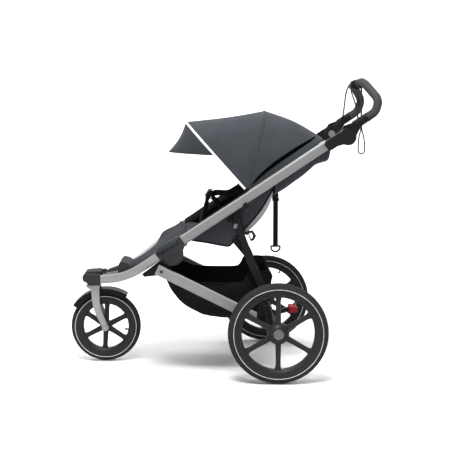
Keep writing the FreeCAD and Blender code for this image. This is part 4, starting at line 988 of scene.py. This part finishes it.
rear_mesh = ([v.co.copy() for v in rear_cloth.data.vertices],
             [list(f.vertices) for f in rear_cloth.data.polygons])
rear_tree = on_surface(*rear_mesh)
slit = [(p.x, p.z)
        for p in smoothline(xz([(116, 779), (160, 823), (219, 870), (297, 921), (345, 948), (388, 971)]), 50)]
# On each side a thin black tape along this line is painted shadow: it stands in for the shade in the gap
# where the canopy's edge overlaps the lower cloth strip.
for side, sign in SIDES:
    gap_shadow_tape = new_mesh("canopy_gap_shadow_" + side, *tape_on(rear_tree, slit, 0.0165, 0.0026, sign, taper=True),
                      gap_shadow_black,
                      slot="black_cloth")
    plane_blend(gap_shadow_tape)


# ------------------------------------------------------------------ seat, basket and back cloths

TUBE_START = Vector((-0.167, 0, 0.552))
TUBE_RISE = (0.943 - 0.552) / (0.422 + 0.167)
TUBE_EDGE = 0.024


def tube_z(x, offset=0.0):
    """Height of the upper tube's centre line at x, with an offset."""
    return TUBE_START.z + (x - TUBE_START.x) * TUBE_RISE + offset


def resample(points, count):
    """Evenly spaced points along a polyline."""
    lengths = [0.0]
    for a, b in zip(points, points[1:]):
        lengths.append(lengths[-1] + (b - a).length)
    out = []
    k = 0
    for i in range(count):
        target = lengths[-1] * i / (count - 1)
        while k < len(points) - 2 and lengths[k + 1] < target:
            k += 1
        span = max(lengths[k + 1] - lengths[k], 1e-9)
        out.append(points[k].lerp(points[k + 1], clamp((target - lengths[k]) / span)))
    return out


def trough_rows(low, high, half_y, power, columns, fold=0.0, size=0.08, seed=0.0, sag=0.0):
    """Rows of a hanging cloth trough: each section falls from both top edges to the low line."""
    rows = []
    for a, b in zip(low, high):
        fine = []
        for k in range(161):
            angle = math.pi * k / 160
            c, s = math.cos(angle), math.sin(angle)
            y = -half_y * signed_power(c, 2 / power)
            fine.append(b.lerp(a, max(s, 0) ** (2 / power)) + Vector((0, y, 0)))
        row = []
        for p in resample(fine, columns):
            depth = (b - p).length / max((b - a).length, 1e-6)
            loose = min(depth, 1.0)
            n = wrinkle((p.x * 1.3, p.y * 0.8 + seed, p.z * 0.8), size)
            m = wrinkle((p.x + p.z, p.y * 0.3 + seed, p.z - p.x), size * 0.42)
            push = fold * loose * (n + 0.35 * m)
            side = Vector((0, math.copysign(1, p.y), 0)) if abs(p.y) > half_y * 0.93 else Vector((0, 0, -1))
            row.append(p + side * push - Vector((0, 0, sag * loose * (1 - abs(p.y / half_y) ** 2))))
        rows.append(row)
    return rows


def edge_roll(name, line, radius, material, body):
    """A bound edge: cloth rolled over a line."""
    return new_mesh(name, *tube(line, radius, 8), material, body, slot="black_cloth")


# storage basket
basket_low = mm_line([(-238, 401), (-213, 339), (-168, 284), (-95, 241), (-42, 224), (30, 214), (110, 211),
                      (168, 218),
                      (188, 242), (204, 370), (207, 400)], 90)
basket_rim = mm_line([(-236, 402), (-205, 401), (-172, 395), (-121, 377), (-70, 373), (-15, 372), (50, 372),
                      (82, 376),
                      (98, 394), (110, 417), (145, 420), (184, 419), (207, 401)], 90)
basket_high = resample(basket_rim, 64)
basket_low = resample(basket_low, 64)
basket_rows = trough_rows(basket_low, basket_high, 0.1885, 7, 49, fold=0.0045, size=0.09, sag=0.003)
basket_mesh = lattice(basket_rows)
basket = new_mesh("storage_basket", *basket_mesh, basket_cloth, "lower_frame", slot="black_cloth")
# The offset shell of the basket takes the lighter inside copy of the cloth, which is painted light.
basket.data.materials.append(basket_inside_painted_light)
solid_cloth(basket, CLOTH)
basket.modifiers["thick"].material_offset = 1
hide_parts("basket")
basket_tree = on_surface(*basket_mesh)
for side, sign in SIDES:
    rim_line = [p + Vector((0, sign * 0.1875, 0)) for p in basket_high[2:-2]]
    edge_roll("basket_hem_" + side, rim_line, 0.0032, basket_cloth, "lower_frame")
    parts = [
        tape_on(basket_tree, straight((0.106, 0.404), (0.122, 0.262), 20), 0.0035, 0.0012, sign),
        tape_on(basket_tree, straight((0.186, 0.412), (0.187, 0.300), 14), 0.0035, 0.0012, sign),
        tape_on(basket_tree, [(x, z + 0.030) for x, z in ((p.x, p.z) for p in basket_low[8:52])], 0.003,
                0.001, sign),
    ]
    new_mesh("basket_seams_" + side, *joined(parts), basket_cloth, "lower_frame", slot="black_cloth")

# seat sling: side walls and base in one cloth
sling_low = resample(mm_line([(-138, 561), (-122, 550), (-60, 540), (16, 526), (34, 531), (60, 560),
                              (95, 600), (150, 665),
                              (185, 721), (212, 770), (234, 802)], 80), 60)
sling_edge = [Vector((p.x - 0.002 + (0.234 - p.x) * 0.02, 0, 0)) for p in sling_low]
sling_high = [Vector((p.x, 0, max(tube_z(p.x, -0.004), q.z + 0.002))) for p, q in zip(sling_edge, sling_low)]


def sling_side(sign):
    """Rows of one seat wall, bellied outward between the tube and its low edge."""
    rows = []
    for a, b in zip(sling_low, sling_high):
        row = []
        for k in range(15):
            v = k / 14
            p = b.lerp(a, v)
            depth = (b - a).length
            belly = 0.0045 * math.sin(math.pi * min(v, 0.97)) * min(depth / 0.06, 1)
            n = wrinkle((p.x * 1.2, sign * 3, p.z), 0.075)
            p.y = sign * (0.1895 + belly + 0.0022 * n * math.sin(math.pi * v))
            row.append(p)
        rows.append(row)
    return rows


for side, sign in SIDES:
    points, faces = lattice(sling_side(sign))
    wall = new_mesh("seat_wall_" + side, points, faces, seat_cloth, "upper_frame", slot="seat_cloth")
    solid_cloth(wall, CLOTH, 0)
    if sign < 0:
        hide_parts("seat_sides")
    edge = [Vector((p.x, sign * 0.1905, p.z)) for p in sling_low]
    edge_roll("seat_binding_" + side, edge, 0.0036, black_cloth, "upper_frame")

base_line = resample(mm_line([(-152, 560), (-136, 551), (-60, 541), (14, 529), (36, 533), (52, 548)], 30), 24)
rows = []
for p in base_line:
    row = []
    for k in range(33):
        u = k / 16 - 1
        lift = 0.008 * abs(u) ** 8
        n = wrinkle((p.x, u * 0.19, 1.0), 0.06)
        row.append(Vector((p.x, 0.1885 * u, p.z + lift - 0.002 + 0.0015 * n * (1 - u * u))))
    rows.append(row)
points, faces = lattice(rows)
seat_bottom = new_mesh("seat_bottom", points, faces, seat_cloth, "upper_frame", slot="seat_cloth")
solid_cloth(seat_bottom, CLOTH, 0)
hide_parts("seat_base")

# padded seat cushion on the base
seat_pad = slab("seat_pad",
                resample(mm_line([(-160, 567), (-140, 566), (-60, 558), (0, 549), (30, 551)], 30), 16), 0.170,
                0.020, pad_cloth, edge=0.22)
inflated(seat_pad, 0.006)
groove(seat_pad, [((x, 0, 0.56), (0, 1, 0))
                  for x in (-0.105, -0.045, 0.010)] + [((0, 0, 0.56), (1, 0, -0.12))], 0.004, 0.006)
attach(seat_pad, "upper_frame")

# padded backrest
BACK_LOW = Vector((0.058, 0, 0.566))
BACK_HIGH = Vector((0.292, 0, 0.842))
BACK_ALONG = (BACK_HIGH - BACK_LOW).normalized()
back_line = [BACK_LOW.lerp(BACK_HIGH, i / 20) for i in range(21)]
back_pad = slab("back_pad", back_line, 0.168, 0.012, pad_cloth, edge=0.3)
inflated(back_pad, 0.006, voxel=0.006)
channels = [(back_line[k], (0, 1, 0)) for k in (5, 10, 15)] + [((BACK_LOW.x, y, BACK_LOW.z), BACK_ALONG)
                                                               for y in (-0.09, 0, 0.09)]
groove(back_pad, channels, 0.0035, 0.007)
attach(back_pad, "backrest")
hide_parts("backrest")

# pale mesh bulging behind the back
bulge_line = resample(mm_line([(46, 536), (72, 546), (112, 578), (150, 613), (180, 652), (200, 690),
                               (208, 720), (212, 745)],
                              50), 40)
bind_line = resample(mm_line([(46, 538), (60, 560), (95, 600), (150, 665), (185, 721), (205, 757)], 50), 40)
rows = []
for a, b in zip(bulge_line, bind_line):
    row = []
    for k in range(41):
        u = k / 20 - 1
        y = 0.184 * math.sin(u * math.pi / 2)
        share = max(1 - abs(y / 0.184) ** 7, 0)
        n = wrinkle((a.x, y, a.z), 0.07)
        row.append(b.lerp(a, share) + Vector((0.0015 * n * share, y, 0)))
    rows.append(row)
points, faces = lattice(rows)
bulge = new_mesh("back_mesh_pocket", points, faces, pale_mesh, "backrest", slot="mesh_cloth")
solid_cloth(bulge, 0.0015, 0)
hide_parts("back_mesh")
edge_roll("back_mesh_hem",
          [Vector((p.x, y, p.z)) for p, y in ((bulge_line[-1], 0.18 - 0.36 * k / 12) for k in range(13))],
          0.004, black_cloth, "backrest")

# trough cloth behind the back, under the canopy's rear
trough_low = resample(mm_line([(214, 730), (240, 746), (274, 769), (342, 819), (378, 851), (410, 864),
                               (430, 871), (438, 888),
                               (442, 913)], 60), 44)
trough_high = [Vector((min(p.x, 0.428), 0, tube_z(min(p.x, 0.428), 0.004))) for p in trough_low]
back_rows = trough_rows(trough_low, trough_high, 0.1955, 8, 45, fold=0.003, size=0.07, seed=4.0)
back_trough = new_mesh("rear_trough", *lattice(back_rows), seat_cloth, slot="seat_cloth")
solid_cloth(back_trough, CLOTH)
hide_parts("rear_panel")
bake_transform(back_trough)

# leg rest from the seat front down to the footrest
leg_line = resample(mm_line([(-378, 420), (-340, 440), (-298, 467), (-262, 498), (-212, 536), (-172, 560),
                             (-150, 566)], 40),
                    36)
leg_half = smoothline([(0.090, 0, 0), (0.112, 0, 0), (0.136, 0, 0), (0.150, 0, 0), (0.160, 0, 0),
                       (0.166, 0, 0), (0.168, 0, 0)],
                      36)
KNUCKLE_TOP = mm_line([(-310, 462), (-284, 492), (-266, 512), (-240, 530), (-209, 545), (-184, 560),
                       (-160, 576)], 60)


def wing_height(x):
    """Height just above the hinge castings at x, for the cloth that lies over them."""
    return float(np.interp(x, [p.x for p in KNUCKLE_TOP], [p.z for p in KNUCKLE_TOP]))


rows = []
for p, w in zip(leg_line, leg_half):
    row = []
    spread = clamp((p.x + 0.292) / 0.035) * clamp((-0.168 - p.x) / 0.012)
    spread = spread * spread * (3 - 2 * spread)
    for k in range(45):
        u = k / 22 - 1
        drop = 0.016 * abs(u) ** 5 - 0.002 * math.cos(u * math.pi / 2)
        n = wrinkle((p.x, u * 0.5, p.z), 0.05)
        flat = Vector((p.x + drop * 0.5, w.x * u * (1 + 0.05 * abs(u) ** 5),
                       p.z + 0.003 - drop + 0.0016 * n * (1 - u ** 4)))
        far = max(abs(u) - 0.62, 0) / 0.38
        rest = Vector((p.x, math.copysign(w.x * 0.62 + (0.252 - w.x * 0.62) * far, u), 0))
        rest.z = p.z + (wing_height(p.x) - p.z) * min(far * 1.6, 1) - 0.016 * max(far - 0.93,
                                                                                  0) / 0.07 + 0.0012 * n
        row.append(flat.lerp(rest, spread) if far > 0 else flat)
    rows.append(row)
points, faces = lattice(rows)
leg = new_mesh("leg_rest_cloth", points, faces, leg_cloth, slot="seat_cloth")
solid_cloth(leg, 0.005)
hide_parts("leg_rest")
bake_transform(leg)

# black liner of the seat's edges, laid over the inner side of each upper tube
for side, sign in SIDES:
    rows = []
    for i in range(46):
        x = -0.158 + 0.262 * i / 45
        top = tube_z(x, TUBE_EDGE)
        n = wrinkle((x, sign, 2.0), 0.05, 0.0012)
        section = [(0.171, tube_z(x, -0.012)), (0.180, tube_z(x, 0.002)), (0.198, top - 0.009),
                   (0.212, top - 0.001),
                   (0.222, top + 0.0020 + n), (0.229, top + 0.0016 + n), (0.2325, top + 0.0004),
                   (0.2335, top - 0.002)]
        rows.append([Vector((x, sign * y, z)) for y, z in section])
    points, faces = lattice(rows)
    liner = new_mesh("seat_liner_" + side, points, faces, black_cloth, "upper_frame", slot="black_cloth")
    solid_cloth(liner, 0.0018, 0)

# ------------------------------------------------------------------ harness

crotch = mm_line([(-84, 562), (-80, 600), (-72, 645), (-60, 690)], 24)
crotch_strap = ribbon("crotch_strap", crotch, 0.030, 0.0022, "upper_frame", (0.9, 1, 0.2))
crotch_pad = slab("crotch_pad", mm_line([(-84, 582), (-79, 612), (-73, 640), (-66, 668)], 14), 0.022, 0.021,
                  black_cloth,
                  columns=12)
inflated(crotch_pad, 0.004, voxel=0.004)
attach(crotch_pad, "upper_frame")
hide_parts("harness_straps")


def shoulder_aim(sign):
    """The direction of a shoulder strap's width, which turns from lying flat to standing on edge."""
    def aim(t):
        turn = clamp((t - 0.02) / 0.10)
        flat = Vector((0, 1, 0))
        stood = Vector((-0.35, 0.35 * sign, 1.0)).normalized()
        return flat.lerp(stood, turn)
    return aim


for side, sign in SIDES:
    top = smoothline([(-0.050, sign * 0.030, 0.722), (-0.012, sign * 0.034, 0.726),
                      (0.028, sign * 0.040, 0.724),
                      (0.068, sign * 0.046, 0.737), (0.110, sign * 0.050, 0.748),
                      (0.150, sign * 0.052, 0.745),
                      (0.186, sign * 0.054, 0.732)], 60)
    strap = ribbon("shoulder_strap_" + side, top, 0.020, 0.0024, twist=shoulder_aim(sign))
    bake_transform(strap)
    waist = smoothline([(-0.042, sign * 0.050, 0.710), (-0.022, sign * 0.058, 0.692),
                        (0.004, sign * 0.062, 0.658),
                        (0.035, sign * 0.068, 0.622), (0.062, sign * 0.080, 0.592)], 40)
    ribbon("waist_strap_" + side, waist, 0.022, 0.0024, "upper_frame", (0.5, 1, 0.3))
    pad_line = smoothline([(0.004, 0, 0.722), (0.030, 0, 0.722), (0.056, 0, 0.724), (0.090, 0, 0.734),
                           (0.130, 0, 0.734),
                           (0.168, 0, 0.722)], 20)
    pad = slab("shoulder_pad_" + side, pad_line, 0.024, 0.010, pad_cloth, columns=10)
    for vertex in pad.data.vertices:
        share = clamp((vertex.co.x - 0.030) / 0.070)
        across = vertex.co.y * (0.30 + 0.80 * share * share * (3 - 2 * share))
        level = vertex.co.z - 0.716
        vertex.co.y = sign * 0.047 + level * 0.15 * sign + across * 0.30
        vertex.co.z += across * 0.85
    inflated(pad, 0.005, voxel=0.004)
    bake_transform(pad)

# ------------------------------------------------------------------ recline strap, wrist strap

strap_line = [Vector((0.234, 0, 0.704 - 0.204 * i / 24)) for i in range(25)]
hang = ribbon("recline_strap_look", strap_line, 0.0215, 0.0023, "recline_pull", (1, 0, 0))
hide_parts("recline_strap")
loop_low = smoothline([(0.234, 0.0014, 0.520), (0.234, 0.0030, 0.500), (0.234, 0.0020, 0.4935),
                       (0.234, -0.0020, 0.4935),
                       (0.234, -0.0030, 0.500), (0.234, -0.0014, 0.520)], 20)
ribbon("recline_strap_loop", loop_low, 0.0215, 0.0016, "recline_pull", (1, 0, 0))


def block(name, low, high, bevel, material, body, slot, taper=0.0):
    """A moulded block with rounded edges; taper narrows its top."""
    cx, cy = (low[0] + high[0]) / 2, (low[1] + high[1]) / 2
    rows = []
    for k in range(5):
        v = k / 4
        z = low[2] + (high[2] - low[2]) * v
        shrink = 1 - taper * v - 0.04 * abs(2 * v - 1) ** 3
        rows.append([Vector((cx + signed_power(c, 0.35) * (high[0] - low[0]) / 2 * shrink,
                             cy + signed_power(s, 0.35) * (high[1] - low[1]) / 2 * shrink, z)) for c,
                     s in circle(24)])
    points, faces = lattice(rows, close_columns=True, caps=True)
    obj = new_mesh(name, points, faces, material, body, slot=slot)
    soften(obj, bevel, 40)
    return obj


block("recline_clamp", (0.196, -0.021, 0.706), (0.247, 0.021, 0.738), 3, black, "backrest", "black_plastic",
      0.12)
block("recline_slider", (0.219, -0.0065, 0.690), (0.249, 0.0065, 0.704), 2, black, "recline_pull",
      "black_plastic")

wrist_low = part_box("wrist_strap")[0]
wrist_line = [Vector((0.585, -0.075, wrist_low.z + 0.001 + (1.176 - wrist_low.z) * i / 20))
              for i in range(21)]
wrist = ribbon("wrist_strap_look", wrist_line, 0.0195, 0.0040, "handlebar", (0, 1, 0))
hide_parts("wrist_strap")
WRIST_BAND = (0.0178, 1.193)  # radius round the bar, height of its centre
ring = [[Vector((0.585 + (WRIST_BAND[0] + h) * c, -0.075 + y, WRIST_BAND[1] + (WRIST_BAND[0] + h) * s))
         for y, h in ((-0.0098, 0), (-0.009, 0.0028), (0.009, 0.0028), (0.0098, 0))] for c, s in circle(28)]
new_mesh("wrist_strap_band", *lattice(ring, close_rows=True, close_columns=True), webbing, "handlebar",
         slot="webbing")

# ribbed sleeves on the handlebar arms
for side, sign in SIDES:
    start = Vector((0.5315, sign * 0.199, 1.0168))
    along = Vector((0.838, 0, 0.5455))
    square = Vector((-along.z, 0, along.x))
    rows = []
    stations = [(0.0, 0.72), (0.003, 0.92), (0.007, 1.0)]
    for k in range(8):
        at = 0.010 + k * 0.0070
        stations += [(at, 1.0), (at + 0.0010, 0.90), (at + 0.0030, 0.90), (at + 0.0040, 1.0)]
    stations += [(0.0690, 1.0), (0.0715, 0.9)]
    for at, share in stations:
        rows.append([start + along * at + (square * (c * 0.0190) + Vector((0, s * 0.0158, 0))) * share
                     for c, s in circle(32)])
    sleeve = new_mesh("arm_sleeve_" + side, *lattice(rows, close_columns=True, caps=True), black, "handlebar",
                      slot="black_plastic")
    sharpen(sleeve, 50)

# ------------------------------------------------------------------ castings and struts


def prism(name, outline, middle, half, bevel, material, body, slot):
    """A plate of an X-Z outline in millimetres, its middle at a Y position, with rounded edges."""
    count = len(outline)
    points = [Vector((x / 1000, y / 1000, z / 1000)) for y in (middle - half, middle + half) for x,
              z in outline]
    faces = [(i, (i + 1) % count, count + (i + 1) % count, count + i) for i in range(count)]
    faces += [tuple(range(count))[::-1], tuple(range(count, 2 * count))]
    obj = new_mesh(name, points, faces, material, body, slot=slot)
    soften(obj, bevel)
    return obj


STRUT_LEFT = [(157, 326), (150, 350), (132, 392), (110, 436), (92, 476), (84, 500), (72, 546), (58, 588),
              (46, 626),
              (42, 650), (46, 684)]
STRUT_RIGHT = [(183, 326), (178, 352), (163, 396), (145, 440), (128, 474), (119, 498), (102, 546), (86, 590),
               (74, 626), (74, 650), (74, 682)]
strut_outline = [(170, 313),
                 (160, 317)] + STRUT_LEFT + [(52, 690), (66, 689)] + STRUT_RIGHT[::-1] + [(180, 317)]
HINGE = pivot("main_fold")
NECK = [(-221.5, 531.6), (-190, 553), (-181, 570), (-173, 573), (-150, 538.6), (-158, 520), (-163.5, 503.6),
        (-199.5, 497.6)]
for side, sign in SIDES:
    strut = prism("rear_strut_look_" + side, strut_outline, sign * 208, 9, 5, black, "struts",
                  "black_plastic")
    prism("strut_gusset_" + side, [(36, 550), (62, 566), (96, 500), (88, 488)], sign * 204, 1, 0.5,
          black_cloth, "struts", "black_cloth")
    prism("strut_lever_" + side, [(43, 603), (57, 601), (61, 619), (47, 622)], sign * 217.5, 2.5, 1.5,
          grey_plastic, "struts", "black_plastic")
    prism("hinge_neck_" + side, NECK, sign * 238.5, 12.5, 4, casting, "upper_frame",
                 "dark_casting")
    profile = [(0.0, 0.0170), (0.0085, 0.0170), (0.0100, 0.0158), (0.0120, 0.0158), (0.0132, 0.0168),
               (0.0290, 0.0170),
               (0.0300, 0.0160), (0.0316, 0.0160), (0.0326, 0.0168), (0.0385, 0.0166), (0.0410, 0.0155),
               (0.0420, 0.0130),
               (0.0420, 0.0008), (0.0412, 0.0), (0.0, 0.0)]
    disc = new_mesh("hinge_disc_" + side,
                    *turned([(r, sign * (0.2345 + h)) for r, h in profile], (HINGE.x, 0, HINGE.z), 72),
                    casting, "upper_frame", slot="dark_casting")
    sharpen(disc, 35)
    if sign < 0:
        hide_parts("rear_struts")
        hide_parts("upper_knuckles")
prism("catch_lug", [(88, 578), (104, 572), (104, 586), (86, 590)], -208, 6, 1.5, black, "struts",
      "black_plastic")
prism("seat_latch", [(18, 627), (42, 623), (47, 645), (36, 652), (24, 649)], -198, 2.5, 1.5, black,
      "upper_frame",
      "black_plastic")

HEAD = [(-590, 374), (-591, 360), (-586, 353), (-573, 346), (-563, 334), (-528, 334), (-519, 343),
        (-514, 350), (-514, 383),
        (-584, 385)]
head = prism("head_block", HEAD, 0, 61, 6, casting, "front_frame", "dark_casting")
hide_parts("steering_head")
prism("head_cover", [(-585, 383), (-514, 382), (-512, 391), (-522, 393.5), (-566, 391), (-580, 388)], 0, 40,
      4, casting,
      "front_frame", "dark_casting")
for side, sign in SIDES:
    prism("head_ear_" + side, [(-516, 378), (-492, 379), (-489, 389), (-497, 397), (-516, 393)],
          sign * 13.75, 2.25, 1.2, casting, "front_frame", "dark_casting")

# ------------------------------------------------------------------ shock absorbers

SHOCK_TOP = Vector((0.172, 0, 0.318))
SHOCK_LOW = Vector((0.193, 0, 0.214))
SHOCK_Y = 0.276
for side, sign in SIDES:
    along = (SHOCK_LOW - SHOCK_TOP).normalized()
    long = (SHOCK_LOW - SHOCK_TOP).length
    profile = [(0.0045, 0.004), (0.013, 0.005), (0.0150, 0.009), (0.0150, 0.017), (0.0125, 0.019)]
    for k in range(8):
        at = 0.021 + k * 0.0082
        profile += [(0.0118, at), (0.0162, at + 0.0022), (0.0166, at + 0.0041), (0.0162, at + 0.0060),
                    (0.0118, at + 0.0078)]
    profile += [(0.0130, long - 0.016), (0.0145, long - 0.013), (0.0145, long - 0.007),
                (0.0045, long - 0.005)]
    u = Vector((along.z, 0, -along.x))
    rows = [[SHOCK_TOP + along * h + (u * c + Vector((0, 1, 0)) * s) * r + Vector((0, sign * SHOCK_Y, 0))
             for r, h in profile] for c, s in circle(40)]
    shock = new_mesh("shock_bellows_" + side, *lattice(rows, close_rows=True), shock_rubber, "lower_frame",
                     slot="shock_rubber")
    sharpen(shock, 60)
    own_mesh(shock)
    if sign < 0:
        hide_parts("shock_units")


# ------------------------------------------------------------------ finish

studio_sweep()
low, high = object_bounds()
